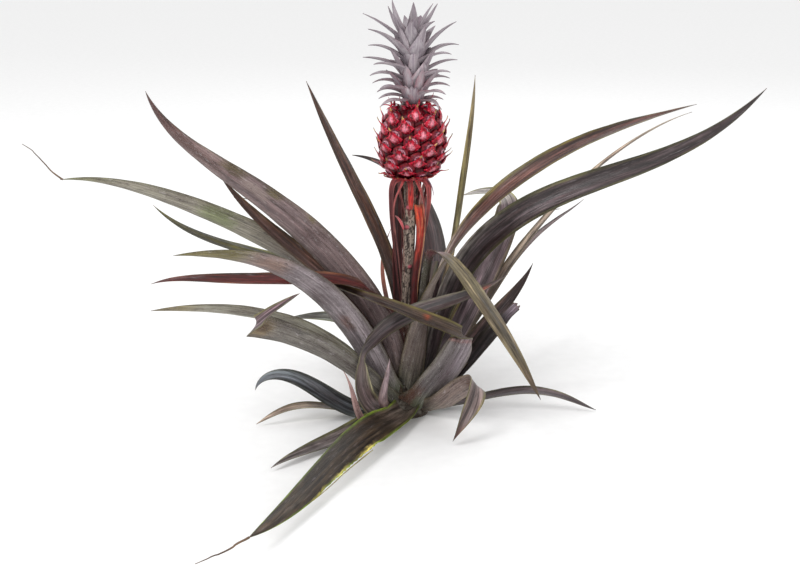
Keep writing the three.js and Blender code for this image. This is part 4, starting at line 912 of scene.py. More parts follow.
def ribbon(bag, centre, d, side, normal, half, cup, thick, colours, seed, cols=13, material=0, frill=0.3, torn=0.0):
    """A thin closed strip along centre. cup lifts the margins along normal; colours(t, u) gives linear light."""
    rows = len(centre)
    t = np.linspace(0, 1, rows)
    u = np.linspace(-1, 1, cols)
    T, U = np.meshgrid(t, u, indexing="ij")
    A = U * half[:, None]
    ell = np.concatenate([[0], np.cumsum(np.linalg.norm(np.diff(centre, axis=0), axis=1))])
    E = np.repeat(ell[:, None], cols, 1)
    lift = half[:, None] * cup * np.abs(U) ** 1.6 + frill * (fractal(E / 6, np.sign(U) * 2 + 5, seed) - 0.5) * np.abs(U) ** 2
    lift = lift + 0.12 * (noise2(A / 0.9 + 9, E / 40, seed + 4) - 0.5)
    th = np.maximum(thick * (1 - 0.6 * np.abs(U) ** 2), 0.16) * np.ones_like(T)
    mid = centre[:, None] + side[:, None] * (A * np.sqrt(max(1 - min(cup, 0.9) ** 2 * 0.5, 0.3)))[..., None] + normal[:, None] * lift[..., None]
    if torn:
        mid = mid + d[:, None] * (torn * smooth(0.9, 1, T) * (fractal(A / 1.7, 2.2, seed + 8) - 0.62))[..., None]
    up = mid + normal[:, None] * (th / 2)[..., None]
    low = mid - normal[:, None] * (th / 2)[..., None]
    c = colours(T, U, E, A)
    uv = np.stack([E + seed * 7.7, A + seed * 3.1], -1) * MM
    bag.grid(up * MM, c, uv, material)
    bag.grid(low * MM, c, uv, material, flip=True)
    close_strip(bag, up * MM, low * MM, c, c, uv, uv, material)
    return up, low


def arc(foot, heading, p0, p1, length, rows, power=1.0, sway=0.0):
    """Centre line and frames of a strip whose pitch goes from p0 to p1 degrees."""
    t = np.linspace(0, 1, rows)
    p = np.radians(p0 + (p1 - p0) * t**power)
    y = np.radians(heading + sway * t**1.5)
    d = np.stack([np.cos(p) * np.cos(y), np.cos(p) * np.sin(y), np.sin(p)], -1)
    side = np.stack([-np.sin(y) * np.ones_like(p), np.cos(y) * np.ones_like(p), np.zeros_like(p)], -1)
    normal = np.cross(d, side)
    mid = (d[1:] + d[:-1]) / 2
    P = np.vstack([np.zeros(3), np.cumsum(mid, 0) * length / (rows - 1)]) + np.asarray(foot, float)
    return P, d, side, normal, t


def strap(bag, points, halves, colours, seed, face, cup=0.4, thick=0.7, cols=9, rows=70, frill=0.3, torn=0.0):
    """A free strip through points (mm), its width set across face, the way its inner side looks."""
    points = np.asarray(points, float)
    k = np.linspace(0, 1, len(points))
    t = np.linspace(0, 1, rows)
    P = np.stack([np.interp(t, k, points[:, i]) for i in range(3)], -1)
    for _ in range(rows // 5):
        P[1:-1] = (P[:-2] + P[2:] + 2 * P[1:-1]) / 4
    half = np.interp(t, k, halves)
    for _ in range(6):
        half[1:-1] = (half[:-2] + half[2:] + 2 * half[1:-1]) / 4
    half = np.maximum(half, 0.2)
    d = unit(np.gradient(P, axis=0))
    face = np.asarray(face, float)
    side = unit(np.cross(face[None], d))
    normal = np.cross(d, side)
    return ribbon(bag, P, d, side, normal, half, cup, thick, colours, seed, cols, 0, frill, torn)


def blend_along(stops, rim, seed, rim_share=0.7):
    """Colours along a strip from stops (share, colour), with a paler rim and streaks."""
    xs = [a for a, _ in stops]
    cs = np.array([linear(*c) for _, c in stops])

    def colours(T, U, E, A):
        w = fractal(E / 6, A / 0.9, seed)
        x = np.clip(T + 0.12 * (w - 0.5), 0, 1)
        c = np.stack([np.interp(x, xs, cs[:, i]) for i in range(3)], -1)
        c = c * (0.42 + 1.16 * w)[..., None]
        c = lerp(c, np.broadcast_to(linear(66, 26, 30), c.shape), 0.8 * smooth(0.55, 0.72, noise2(A / 0.8 + seed, E / 14, seed + 1)))
        return lerp(c, np.broadcast_to(linear(*rim), c.shape), rim_share * smooth(0.72, 0.95, np.abs(U)))

    return colours


# The right bract leans away from the stalk and ends in a broad torn top, orange over maroon, tan down its outer margin
BRACT_LINES = {
    "bract_right": (
        [(9.6, -6.3, 106), (10.8, -6.5, 126), (11.8, -6.8, 149), (14.4, -7, 171), (17.6, -7.2, 193), (18.6, -7.4, 214.7), (15.8, -8, 233.5)],
        [3.3, 4.2, 4.3, 4.8, 4.9, 5.6, 5.4],
    ),
}


for k, (name, foot, heading, length, width, p0, p1) in enumerate(BRACTS):
    look = {key: linear(*v) for key, v in BRACT_LOOK[name].items()}
    P, d, side, normal, t = arc(foot, heading, p0, p1, length, 90)
    half = width / 2 * (0.62 + 0.38 * np.sin(np.minimum(t / 0.45, 1) * np.pi / 2)) * np.maximum(1 - t**16, 0.0) ** 0.6
    half = np.maximum(half * (1 - 0.08 * fractal(t * 9, 2, 60 + k)), 0.35)

    def colours(T, U, E, A, look=look, k=k):
        shape = T.shape + (3,)
        full = lambda c: np.broadcast_to(c, shape)
        w = fractal(E / 9, A / 1.6, 70 + k)
        c = lerp(full(look["body"]), full(look["rib"]), smooth(0.35, 0.8, noise2(A / 1.1 + 4, E / 30, 73 + k)))
        c = lerp(c, full(look["foot"]), 1 - smooth(look_from[name][0], look_from[name][1], T + 0.2 * (w - 0.5)))
        c = c * (0.5 + 1.0 * w)[..., None]
        c = lerp(c, full(look["rib"] * 0.4), 0.6 * smooth(0.6, 0.74, noise2(A / 0.9 + 14, E / 9, 78 + k)))
        c = lerp(c, full(look["rim"]), 0.3 * smooth(0.45, 0.7, T) * smooth(0.62, 0.78, noise2(A / 1.0 + 34, E / 12, 79 + k)))
        rim = smooth(0.8, 0.95, np.abs(U) + 0.1 * (w - 0.5))
        if name == "bract_right":
            rim = smooth(0.6, 0.8, U * RIGHT_RIM + 0.25 * (w - 0.5)) * smooth(0.12, 0.3, T)
            c = lerp(c, full(linear(46, 22, 22)), 0.75 * smooth(0.62, 0.85, -U * RIGHT_RIM) * (1 - smooth(0.7, 0.9, T)))
        c = lerp(c, full(look["rim"]), 0.85 * rim)
        return lerp(c, full(linear(120, 92, 62)), 0.6 * smooth(0.97, 1, T))

    bag = Bag()
    if name in BRACT_LINES:
        points, halves = BRACT_LINES[name]
        strap(bag, points, halves, colours, 80 + k, (0.25, -1, 0.05), -0.42, 0.9, 17, 90, 0.5, 5.0)
    else:
        ribbon(bag, P, d, side, normal, half, 0.62, 0.9, colours, 80 + k, 15)
    ob = bag.object(name + "_sheath", [bract_skin], 60)
    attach(ob, "root")
    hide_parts(name)


# The upper bracts hang in straps from under the fruit, rosy and dry, down both sides of the stalk and behind it
bag = Bag()
strap(bag, [(4, -7, 262.5), (-4, -9.5, 262), (-10.5, -9, 259), (-13.4, -7, 250), (-13.6, -5.5, 236), (-13.2, -4, 218), (-12, -2.5, 200), (-9.8, -1.5, 178), (-7, -1.5, 152), (-4, -2, 126)], [2.6, 3.4, 3.4, 3.0, 2.6, 2.2, 1.6, 1.1, 0.8, 0.4],
      blend_along([(0, (150, 30, 40)), (0.12, (150, 50, 56)), (0.24, (150, 66, 66)), (0.36, (88, 38, 40)), (0.7, (84, 38, 38)), (1, (64, 34, 34))], (186, 116, 112), 401, 0.55), 401, (-0.5, -1, 0.1), 0.3)
strap(bag, [(9, -8, 262.5), (16, -10, 262), (22, -10, 259.5), (25.6, -8, 252), (26, -6.5, 240), (25, -6, 226), (23.4, -6, 212), (22.6, -6, 202)], [2.6, 3.6, 3.6, 3.3, 2.8, 2.2, 1.4, 0.4],
      blend_along([(0, (160, 30, 40)), (0.2, (160, 54, 60)), (0.5, (158, 72, 70)), (0.8, (124, 56, 54)), (1, (120, 60, 54))], (200, 128, 122), 402, 0.55), 402, (0.5, -1, 0.1), 0.3)
strap(bag, [(5.5, -9, 262.5), (6.4, -10.5, 256), (7.6, -9.6, 247), (8.2, -8.6, 238), (8.6, -8.0, 229)], [3.0, 3.0, 2.5, 1.7, 0.3],
      blend_along([(0, (170, 26, 36)), (0.35, (186, 50, 48)), (0.6, (186, 84, 76)), (1, (150, 40, 44))], (130, 20, 30), 403, 0.5), 403, (0, -1, 0), 0.35)
strap(bag, [(0, -9, 262), (-1.5, -11.2, 257), (-5, -11.2, 250), (-9, -10, 241), (-11.2, -8.5, 229), (-11, -7.5, 214), (-8.6, -6.5, 196), (-6, -5.5, 176), (-3.6, -5, 150), (-2.2, -5, 128)], [1.8, 1.5, 1.1, 1.0, 0.9, 0.8, 0.7, 0.6, 0.5, 0.3],
      blend_along([(0, (176, 40, 46)), (0.3, (160, 78, 76)), (0.6, (120, 70, 66)), (1, (92, 60, 54))], (190, 124, 118), 404, 0.5), 404, (-0.2, -1, 0.1), 0.2, 0.6, 7)
strap(bag, [(12, -10, 262), (14.5, -11.4, 256), (17.5, -11.4, 248), (20.5, -10, 238), (21.6, -9, 228), (21.4, -8.5, 219)], [2.2, 1.9, 1.4, 1.1, 0.8, 0.3],
      blend_along([(0, (176, 34, 42)), (0.5, (172, 78, 74)), (1, (124, 54, 50))], (206, 140, 130), 405, 0.6), 405, (0.2, -1, 0.1), 0.25, 0.6, 7)
strap(bag, [(-9.5, -7.5, 221), (-6.5, -9.5, 219), (-3.4, -9.8, 215), (-1.6, -9.4, 210), (-0.6, -8.6, 206)], [0.5, 0.9, 1.5, 1.3, 0.3],
      blend_along([(0, (150, 90, 88)), (0.6, (206, 96, 100)), (1, (170, 70, 76))], (226, 160, 156), 406, 0.4), 406, (-0.2, -1, 0.1), 0.1, 0.6, 7, 30)
for k, (a, r, drop) in enumerate(((60, 15, 34), (95, 16, 52), (128, 15, 40), (160, 15.5, 60), (25, 16, 46), (-150, 13.5, 30))):
    ca, sa = math.cos(math.radians(a)), math.sin(math.radians(a))
    pts = [(7.5 + q * ca, q * sa, z) for q, z in ((4, 262.5), (r * 0.7, 261.5), (r, 256), (r * 1.02, 246), (r * 0.86, 262 - drop * 0.75), (r * 0.7, 262 - drop), (r * 0.56, 255 - drop * 1.35))]
    strap(bag, pts, [2.6, 3.6, 3.4, 3.0, 2.2, 1.4, 0.3], blend_along([(0, (150, 28, 38)), (0.3, (152, 60, 62)), (0.7, (110, 50, 48)), (1, (84, 50, 44))], (180, 116, 110), 410 + k), 410 + k, (ca, sa, 0.1), 0.3)
ob = bag.object("bract_straps", [bract_skin], 60)
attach(ob, "root")

# ---------------------------------------------------------------------------------------------------------
# Fruit
def fruit_materials():
    m = Nodes("eye_skin")
    hue = m.hue()
    cells = m.noise(m.place(1500), 1, 3, 0.5)
    cloud = m.noise(m.place(420), 1, 4, 0.6)
    colour = m.mix(1.0, hue, m.ramp(cells, (0.3, (0.78, 0.74, 0.76)), (0.7, (1.25, 1.22, 1.25))), "MULTIPLY")
    colour = m.mix(1.0, colour, m.ramp(cloud, (0.3, (0.78, 0.72, 0.76)), (0.7, (1.24, 1.2, 1.22))), "MULTIPLY")
    grain = m.noise(m.place(560), 1, 4, 0.66)
    colour = m.mix(1.0, colour, m.ramp(grain, (0.34, (0.36, 0.26, 0.3)), (0.48, (1, 1, 1)), (0.66, (1.5, 1.45, 1.5))), "MULTIPLY")
    normal = m.bump(cells, 0.25, 0.0004)
    skin = m.done(colour, m.span(cloud, 0.3, 0.7, 0.22, 0.38), normal, Specular_IOR_Level=0.26)
    m = Nodes("scale_skin")
    hue = m.hue()
    fibre = m.noise(m.uv(120, 1500), 1, 3, 0.6)
    scurf = m.noise(m.place(2100), 1, 3, 0.6)
    colour = m.mix(1.0, hue, m.ramp(fibre, (0.3, (0.6, 0.5, 0.54)), (0.7, (1.35, 1.32, 1.32))), "MULTIPLY")
    colour = m.mix(m.span(scurf, 0.6, 0.78, 0, 0.12), colour, linear(226, 140, 150))
    grain = m.noise(m.place(520), 1, 4, 0.66)
    colour = m.mix(1.0, colour, m.ramp(grain, (0.34, (0.3, 0.24, 0.28)), (0.48, (1, 1, 1)), (0.64, (1.3, 1.3, 1.3))), "MULTIPLY")
    fleck = m.noise(m.place(640), 1, 3, 0.6)
    colour = m.mix(m.span(fleck, 0.57, 0.68, 0, 0.42), colour, linear(242, 168, 180))
    scale = m.done(colour, m.span(scurf, 0.3, 0.7, 0.28, 0.5), m.bump(fibre, 0.4, 0.0005), Specular_IOR_Level=0.24)
    return skin, scale


eye_skin, scale_skin = fruit_materials()
# The darkest wine red is painted shade: it colours the core in the gaps between the eyes and darkens the bract feet in
# their notches. DEEP is the bracts' own dark red and also shades the core.
CRIMSON, DEEP, PINK, WINE_SHADE = linear(186, 4, 42), linear(80, 1, 14), linear(244, 168, 184), linear(66, 1, 10)
TAN, OLIVE = linear(196, 158, 96), linear(140, 116, 60)


def fruit_surface(h, a):
    """Point and frame on the fruit at height h over its foot and angle a."""
    r = read(FRUIT_OUTLINE, h)
    slope = (read(FRUIT_OUTLINE, h + 2.0) - read(FRUIT_OUTLINE, h - 2.0)) / 4.0
    slope = np.clip(slope, -1.6, 1.6)
    out = np.array([math.cos(a), math.sin(a), 0.0])
    n = unit(out - np.array([0, 0, float(slope)]))
    up = unit(np.array([0, 0, 1.0]) + out * float(slope))
    side = np.cross(up, n)
    cx = float(axis_x(FRUIT_BASE + h))
    return np.array([cx, 0, FRUIT_BASE + h]) + out * float(r), n, up, side


# The core shows only in the gaps between the eyes; its dark wine red is painted shade for those gaps.
def gap_shade_colour(Z, A):
    shape = Z.shape + (3,)
    w = fractal(A * 7, Z / 4, 33)
    return lerp(np.broadcast_to(DEEP, shape), np.broadcast_to(WINE_SHADE, shape), smooth(0.3, 0.7, w))


bag = Bag()
h = np.concatenate([np.linspace(-1.0, 6, 14), np.linspace(6.6, 74, 50), np.linspace(74.6, 80, 8)])
h = np.clip(h, 0.0, 79.0)
h = np.unique(h)
turned(bag, FRUIT_BASE + h, np.maximum(read(FRUIT_OUTLINE, h) - 3.6, 6), gap_shade_colour, 80, 0, relief=lambda Z, A: 0.5 * (fractal(A * 8, Z / 3, 35) - 0.5))

EYES = 54
rng = np.random.default_rng(54)
for k in range(EYES):
    h = 3.0 + 1.39 * k
    if h > 77:
        break
    turn = GOLDEN * k + 0.3
    P, n, up, side = fruit_surface(h, turn)
    r = float(read(FRUIT_OUTLINE, h))
    size = 8.9 * (0.56 + 0.44 * min(r / 32.0, 1.0))
    if h < 8:
        size *= 0.9
    # the domed flower: withered sepals curled over a round cushion, ringed by a dark fleshy collar whose outer edge
    # also carries painted shade
    rings = np.array([0, 0.1, 0.18, 0.26, 0.34, 0.41, 0.48, 0.55, 0.62, 0.68, 0.74, 0.79, 0.84, 0.89, 0.94, 0.98, 1.02, 1.07, 1.12])
    ang = np.linspace(0, 2 * np.pi, 44, endpoint=False)
    Rr, An = np.meshgrid(rings, ang, indexing="ij")
    hexa = 1 / np.cos(((An + np.pi / 6) % (np.pi / 3)) - np.pi / 6)
    hexa = 1 + (hexa - 1) * 0.5 * smooth(0.6, 1.0, Rr)
    x = Rr * size * 0.98 * np.cos(An) * hexa
    y = Rr * size * 0.86 * np.sin(An) * hexa + 0.08 * size
    spin = rng.uniform(-0.35, 0.35)
    arcs = 0.0
    for j, (level, out) in enumerate(((0.5, 0.14), (0.38, 0.1), (0.24, 0.05))):
        c0 = np.radians(90 + 75 * (j - 1)) + spin
        dx, dy = x - size * out * math.cos(c0), y - size * out * math.sin(c0)
        rr = np.sqrt(dx**2 + dy**2) / size
        toward = np.cos(np.arctan2(dy, dx) - c0)
        arcs = arcs + np.exp(-(((rr - level) / 0.042) ** 2)) * np.clip(toward + 0.35, 0, 1) ** 0.7
    dome = size * 0.40 * np.maximum(1 - (Rr / 0.86) ** 2.6, 0) ** 0.6
    collar = size * 0.11 * np.exp(-(((Rr - 0.9) / 0.085) ** 2))
    rough = 0.3 * (fractal(x / 1.2 + k * 5, y / 1.2, 91) - 0.5) * (1 - smooth(0.7, 1, Rr))
    zz = dome + collar + arcs * size * 0.085 + rough - 2.6 * smooth(0.94, 1.12, Rr) - 2.5
    pts = P + side * x[..., None] + up * y[..., None] + n * zz[..., None]
    full = lambda c: np.broadcast_to(c, x.shape + (3,))
    mottled = fractal(x / 1.5 + 3 * k, y / 1.5, 92)
    shade = lerp(full(linear(70, 6, 20)), full(linear(124, 40, 60)), smooth(0.3, 0.7, mottled))
    shade = lerp(shade, full(linear(226, 172, 184)), 0.86 * np.clip(arcs, 0, 1))
    # painted shade: dark patches in the hollows between the pale sepal arcs
    hollow_shade = np.clip(fractal(x / 2.6 + k, y / 2.6, 93) * 1.6 - 0.75, 0, 1) * (1 - np.clip(arcs, 0, 1))
    shade = lerp(shade, full(linear(60, 2, 12)), 0.9 * hollow_shade)
    shade = lerp(shade, full(linear(112, 2, 20)), smooth(0.66, 0.84, Rr + 0.1 * (mottled - 0.5)))
    # painted shade: the collar's outer edge darkens where it sinks into the gap between eyes
    shade = lerp(shade, full(linear(58, 0, 7)), smooth(0.9, 1.0, Rr))
    uv = np.stack([x + k * 20, y], -1) * MM
    bag.grid(pts * MM, shade, uv, 0, close=True, flip=False)
    # its bract: narrow foot in the notch below, shoulders spread over the lower half, then pinched to a point
    # that lies up over the flower and ends in a dry spine
    rows = 34
    t = np.linspace(0, 1, rows)
    lean = rng.uniform(-0.2, 0.2) + 0.04
    yy = np.interp(t, [0, 0.25, 0.5, 0.66, 0.8, 1], [-1.0, -0.6, -0.08, 0.24, 0.52, 0.98]) * size
    over = np.interp(t, [0, 0.12, 0.3, 0.46, 0.6, 0.8, 1], [-0.34, 0.08, 0.34, 0.47, 0.5, 0.54, 0.62]) * size
    away = smooth(0.52, 1.0, t) * rng.uniform(2.6, 6.6)
    if k % 5 == 2:
        away = away * 0.3
    xx = lean * size * t**2 * 2.2 + rng.uniform(-1.2, 1.2) * smooth(0.6, 1.0, t)
    half = np.interp(t, [0, 0.08, 0.2, 0.3, 0.37, 0.46, 0.56, 0.68, 0.8, 0.9, 1], [0.5, 0.72, 1.02, 1.24, 1.02, 0.76, 0.52, 0.32, 0.18, 0.09, 0.03]) * size
    for _ in range(1):
        half[1:-1] = (half[:-2] + half[2:] + 2 * half[1:-1]) / 4
        yy[1:-1] = (yy[:-2] + yy[2:] + 2 * yy[1:-1]) / 4
        over[1:-1] = (over[:-2] + over[2:] + 2 * over[1:-1]) / 4
    half = np.maximum(half * rng.uniform(0.92, 1.06), 0.2)
    centre = P + side * xx[:, None] + up * yy[:, None] + n * (over + away - 1.5)[:, None]
    d = unit(np.gradient(centre, axis=0))
    sd = unit(side[None] - d * (d @ side)[:, None])
    nm = np.cross(sd, d)
    nm = nm * np.sign(np.sum(nm * n, 1))[:, None]

    def colours(T, U, E, A, k=k, r0=rng.uniform(0, 1)):
        shape = T.shape + (3,)
        full = lambda c: np.broadcast_to(c, shape)
        w = fractal(E / 2.0 + k, A / 1.3, 95)
        c = lerp(full(CRIMSON), full(DEEP), 0.9 * smooth(0.4, 0.66, fractal(A / 1.3 + k, E / 4, 96)))
        heart = (1 - smooth(0.08, 0.5, np.abs(U) + 0.7 * (w - 0.5))) * smooth(0.06, 0.26, T) * (1 - smooth(0.44, 0.66, T))
        c = lerp(c, full(PINK), np.clip(heart * (0.5 + 1.1 * (w - 0.35)), 0, 0.92))
        # painted shade: the bract's foot darkens where it sits in the notch below the eye
        c = lerp(c, full(WINE_SHADE), 0.75 * (1 - smooth(0.0, 0.12, T)))
        c = lerp(c, full(linear(210, 22, 58)), 0.45 * smooth(0.7, 0.86, np.abs(U)) * (1 - smooth(0.5, 0.62, T)))
        c = lerp(c, full(TAN if r0 < 0.6 else (OLIVE if r0 < 0.85 else linear(150, 40, 44))), smooth(0.78, 0.88, T))
        return lerp(c, full(linear(96, 62, 48)), smooth(0.93, 1, T))

    ribbon(bag, centre, d, sd, nm, half, -0.24, 0.6, colours, 100 + k, 17, 1, frill=1.3)

ob = bag.object("fruit_body", [eye_skin, scale_skin], 50)
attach(ob, "root")
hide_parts("fruit")

# ---------------------------------------------------------------------------------------------------------
# Small curled red bracts between the fruit and the crown, and the flared ones below the fruit
bag = Bag()
rng = np.random.default_rng(7)
for k in range(26):
    a = 2 * np.pi * k / 26 + rng.uniform(-0.12, 0.12)
    h = 74 + rng.uniform(-3, 3.5)
    r = float(read(FRUIT_OUTLINE, min(h, 77))) * 0.86
    foot = (float(axis_x(FRUIT_BASE + h)) + r * math.cos(a), r * math.sin(a), FRUIT_BASE + h)
    long = rng.uniform(9, 17)
    curl = rng.uniform(-80, 10) if k % 3 else rng.uniform(60, 110)
    P, d, side, normal, t = arc(foot, math.degrees(a) + rng.uniform(-25, 25), rng.uniform(20, 60), curl, long, 18, 1.4, rng.uniform(-40, 40))
    half = np.maximum(rng.uniform(1.3, 2.6) * (1 - t**1.4) ** 0.8, 0.18)

    def colours(T, U, E, A, k=k):
        shape = T.shape + (3,)
        full = lambda c: np.broadcast_to(c, shape)
        w = fractal(E / 2 + k, A, 97)
        c = lerp(full(linear(202, 24, 60)), full(linear(122, 8, 30)), smooth(0.4, 0.7, w))
        c = lerp(c, full(PINK), 0.5 * (1 - smooth(0.1, 0.6, np.abs(U))) * (1 - smooth(0.3, 0.7, T)))
        return lerp(c, full(linear(128, 74, 62)), smooth(0.82, 1, T))

    ribbon(bag, P, d, side, normal, half, 0.4, 0.5, colours, 200 + k, 7, 0, frill=0.6)
for k in range(17):
    a = 2 * np.pi * k / 17 + rng.uniform(-0.1, 0.1)
    r = 10.5 + rng.uniform(-1, 1.5)
    foot = (float(axis_x(FRUIT_BASE)) + r * math.cos(a), r * math.sin(a), FRUIT_BASE - 0.5 + rng.uniform(-1, 2))
    long = rng.uniform(15, 24)
    P, d, side, normal, t = arc(foot, math.degrees(a), rng.uniform(-6, 8), rng.uniform(18, 48), long, 24, 1.3, rng.uniform(-14, 14))
    half = np.maximum(rng.uniform(4.2, 5.6) * (0.8 + 0.2 * np.sin(np.minimum(t / 0.3, 1) * np.pi / 2)) * (1 - t**2.2) ** 0.9, 0.22)

    def colours(T, U, E, A, k=k):
        shape = T.shape + (3,)
        full = lambda c: np.broadcast_to(c, shape)
        w = fractal(E / 2.4 + k * 3, A / 1.2, 98)
        c = lerp(full(linear(176, 28, 40)), full(linear(96, 8, 22)), smooth(0.35, 0.7, w))
        c = lerp(c, full(linear(206, 118, 124)), 0.7 * (1 - smooth(0.15, 0.7, np.abs(U))) * smooth(0.1, 0.35, T) * (1 - smooth(0.6, 0.85, T)))
        return lerp(c, full(linear(150, 110, 70)), smooth(0.86, 1, T))

    ribbon(bag, P, d, side, normal, half, 0.35, 0.7, colours, 240 + k, 11, 0, frill=0.8)
# the thin purple curl that leaves the fruit's foot on the right
curl = np.array([[17, -13, 263], [21, -15, 263.5], [25, -16, 261], [28, -16, 256], [30, -16, 250], [31, -15, 244]], float)
tt = np.linspace(0, 1, 26)
curl = np.stack([np.interp(tt, np.linspace(0, 1, len(curl)), curl[:, i]) for i in range(3)], -1)
for _ in range(4):
    curl[1:-1] = (curl[:-2] + curl[2:] + 2 * curl[1:-1]) / 4
tube(bag, curl, np.interp(tt, [0, 0.7, 1], [0.75, 0.55, 0.2]), linear(120, 84, 100), 0, 7)
ob = bag.object("fruit_frill", [scale_skin], 50)
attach(ob, "root")

# ---------------------------------------------------------------------------------------------------------
# Crown
def crown_material():
    m = Nodes("crown_skin")
    hue = m.hue()
    fibre = m.noise(m.uv(40, 1300), 1, 3, 0.6)
    scurf = m.noise(m.uv(1500, 2100), 1, 3, 0.65)
    cloud = m.noise(m.uv(110, 260), 1, 3, 0.6)
    colour = m.mix(1.0, hue, m.ramp(fibre, (0.3, (0.78, 0.76, 0.78)), (0.7, (1.2, 1.2, 1.2))), "MULTIPLY")
    colour = m.mix(1.0, colour, m.ramp(cloud, (0.3, (0.82, 0.78, 0.8)), (0.7, (1.14, 1.14, 1.14))), "MULTIPLY")
    colour = m.mix(m.span(scurf, 0.5, 0.7, 0, 0.5), colour, linear(206, 200, 204))
    return m.done(colour, m.span(scurf, 0.3, 0.7, 0.55, 0.82), m.bump(scurf, 0.3, 0.0005, m.bump(fibre, 0.3, 0.0006)), Specular_IOR_Level=0.28)


crown_skin = crown_material()
bag = Bag()
CROWN_FOOT = FRUIT_TOP


def core_grey(Z, A):
    shape = Z.shape + (3,)
    return lerp(np.broadcast_to(linear(96, 84, 84), shape), np.broadcast_to(linear(122, 104, 108), shape), fractal(A * 5, Z / 5, 44))


hc = np.linspace(-4, 84, 46)
a = np.linspace(0, 2 * np.pi, 40, endpoint=False)
Z, A = np.meshgrid(CROWN_FOOT + hc, a, indexing="ij")
R = np.repeat(np.maximum(read(CROWN_CORE, hc) * 0.72, 0.6)[:, None], 40, 1)
Pc = np.stack([9 + R * np.cos(A), R * np.sin(A), Z], -1)
bag.grid(Pc * MM, core_grey(Z, A), np.stack([Z, A * 8], -1) * MM, 0, close=True)
bag.add(Pc[0] * MM, core_grey(Z, A)[0], Pc[0, :, :2] * MM, [list(range(40))[::-1]], 0)
bag.add(Pc[-1] * MM, core_grey(Z, A)[-1], Pc[-1, :, :2] * MM, [list(range(40))], 0)


def crown_leaf(bag, height, heading, p0, p1, length, width, seed, tone=(150, 143, 148), grow=1.0, blunt=2.0, out=0.45):
    core = float(read(CROWN_CORE, max(height, 0)))
    y = math.radians(heading)
    foot = (9 + out * core * math.cos(y), out * core * math.sin(y), CROWN_FOOT + height)
    rg = np.random.default_rng(seed)
    rows, cols = 40, 11
    P, d, side, normal, t = arc(foot, heading, p0, p1, length + 0.3 * core, rows, 1.5, rg.uniform(-6, 6))
    half = width / 2 * grow * (0.86 + 0.14 * np.sin(np.minimum(t / 0.25, 1) * np.pi / 2)) * np.maximum(1 - t**blunt, 0) ** 0.9
    # fine forward teeth along the margins
    teeth = 1 + 0.05 * (np.abs(((t * length / 2.3 + rg.uniform(0, 1)) % 1) - 0.5) * 2 - 0.5) * smooth(0.1, 0.3, t)
    half = np.maximum(half * teeth, 0.2)
    body, dark, rosy = linear(*tone), linear(tone[0] - 34, tone[1] - 38, tone[2] - 32), linear(158, 112, 118)
    low = 1 - smooth(4, 30, height)

    def colours(T, U, E, A):
        shape = T.shape + (3,)
        full = lambda c: np.broadcast_to(c, shape)
        w = fractal(E / 7 + seed, A / 1.8, 101)
        c = lerp(full(body), full(dark), 0.8 * smooth(0.4, 0.75, noise2(A / 0.9 + seed, E / 20, 102)))
        c = lerp(c, full(rosy), 0.5 * low * smooth(0.4, 0.7, w))
        c = lerp(c, full(linear(128, 72, 84)), (0.25 + 0.5 * low) * smooth(0.8, 0.98, np.abs(U)) * (1 - smooth(0.5, 0.9, T)))
        # painted shade: each leaf darkens toward its foot, deep in the crowded tuft
        c = lerp(c, full(dark * 0.5), 0.7 * (1 - smooth(0.05, 0.34, T)))
        return lerp(c, full(linear(112, 96, 104)), 0.6 * smooth(0.8, 1, T))

    ribbon(bag, P, d, side, normal, half, 0.42, 0.75, colours, 300 + seed, cols, 0, frill=0.25)


for k, (name, height, heading, p0, p1, length, width) in enumerate(CROWN):
    v = (k * 7) % 5 - 2
    crown_leaf(bag, height, heading, p0, p1, length, width, k, (170 + 5 * v, 164 + 5 * v, 167 + 5 * v), 1.66)
for i in range(9):
    t = i / 8
    crown_leaf(bag, 3 + 46 * t, 90 + 46 * math.sin(i * GOLDEN), 30 + 28 * t, -25 + 70 * t, 27 + 19 * t, 10 + 2 * t, 60 + i, (164, 158, 161), 1.64)
FRONT_LEAVES = [
    (40, -98, 86, 93, 44, 16, 5.0), (36, -62, 72, 62, 46, 14, 3.0), (36, -128, 74, 68, 44, 14, 3.0), (24, -84, 82, 88, 30, 13.5, 3.5),
    (22, -40, 66, 52, 36, 13, 3.0), (22, -142, 66, 54, 36, 13, 3.0), (14, -116, 74, 82, 23, 13, 3.5), (8, -62, 72, 68, 27, 12.5, 3.0),
    (10, -30, 60, 40, 28, 12, 3.0), (10, -150, 60, 44, 28, 12, 3.0), (1, -95, 70, 80, 15, 10, 4.0), (1, -78, 68, 74, 14, 9.5, 4.0),
    (1, -52, 64, 60, 18, 10, 3.5), (1, -126, 64, 62, 18, 10, 3.5), (52, -80, 80, 84, 36, 12, 3.0),
]
rng = np.random.default_rng(11)
for i in range(40):
    # the close ranks between the leading leaves: broad, short and upright, longer round the back
    t = (i + 0.5) / 40
    heading = (math.degrees(GOLDEN * i) + 20) % 360
    height = 1 + 58 * t
    behind = 0.5 + 0.5 * math.cos(math.radians(heading - 90))
    back = smooth(0.55, 0.85, behind)
    pitch = 58 + 26 * t - 22 * back
    crown_leaf(bag, height, heading, pitch, pitch + 22 - (46 - 20 * t) * back, (13 + 7 * t) * (1 + 1.0 * back) * rng.uniform(0.9, 1.05), 12.5 + 2 * t, 100 + i, (156, 146, 150), 1.4, 3.4)
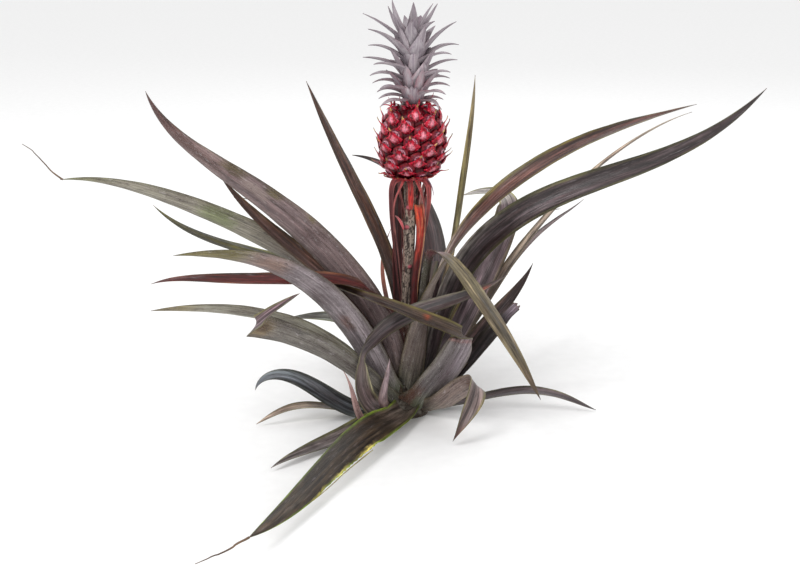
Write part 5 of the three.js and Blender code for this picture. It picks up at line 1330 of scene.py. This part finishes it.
# the broad leaves down the front: height, heading, pitch at the foot and at the tip, length, width, bluntness
for k, (height, heading, p0, p1, length, width, blunt) in enumerate(FRONT_LEAVES):
    crown_leaf(bag, height, heading, p0, p1, length, width, 160 + k, (158, 150, 154), 1.0, blunt, 0.8)
ob = bag.object("crown_tuft", [crown_skin], 50)
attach(ob, "root")
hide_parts("crown")

# ---------------------------------------------------------------------------------------------------------
# Floor, light and camera
me = bpy.data.meshes.new("floor")
me.from_pydata([(-9, -9, 0), (9, -9, 0), (9, 9, 0), (-9, 9, 0)], [], [(0, 1, 2, 3)])
floor = bpy.data.objects.new("floor", me)
bpy.context.scene.collection.objects.link(floor)
m = Nodes("floor_pale")
speck = m.noise(m.place(60), 1, 3, 0.5)
me.materials.append(m.done(m.ramp(speck, (0.3, (0.9, 0.9, 0.9)), (0.7, (0.93, 0.93, 0.93))), 0.95, None, Specular_IOR_Level=0.1))


def area(name, place, target, size, power, colour=(1, 1, 1)):
    lamp = bpy.data.lights.new(name, "AREA")
    lamp.shape = "DISK"
    lamp.size = size
    lamp.energy = power
    lamp.color = colour
    o = bpy.data.objects.new(name, lamp)
    o.location = place
    o.rotation_euler = (Vector(target) - Vector(place)).to_track_quat("-Z", "Y").to_euler()
    bpy.context.scene.collection.objects.link(o)
    return o


area("key", (-1.2, -1.5, 2.3), (0, 0, 0.2), 1.3, 30)
area("fill", (1.9, -1.7, 1.3), (0, 0, 0.2), 1.8, 8)
area("back", (0.4, 2.0, 1.9), (0, 0, 0.2), 1.8, 8)
world = bpy.data.worlds.new("studio")
bpy.context.scene.world = world
world.use_nodes = True
world.node_tree.nodes["Background"].inputs[0].default_value = (1, 1, 1, 1)
world.node_tree.nodes["Background"].inputs[1].default_value = 0.95

cam_data = bpy.data.cameras.new("camera")
cam_data.sensor_width = 36.0
cam_data.lens = 65.45
cam_data.clip_end = 50
cam = bpy.data.objects.new("camera", cam_data)
cam.location = (-0.0044, -1.5113, 0.5416)
cam.rotation_euler = (math.radians(75), 0, 0)
bpy.context.scene.collection.objects.link(cam)
bpy.context.scene.camera = cam
bpy.context.scene.view_settings.view_transform = "Standard"
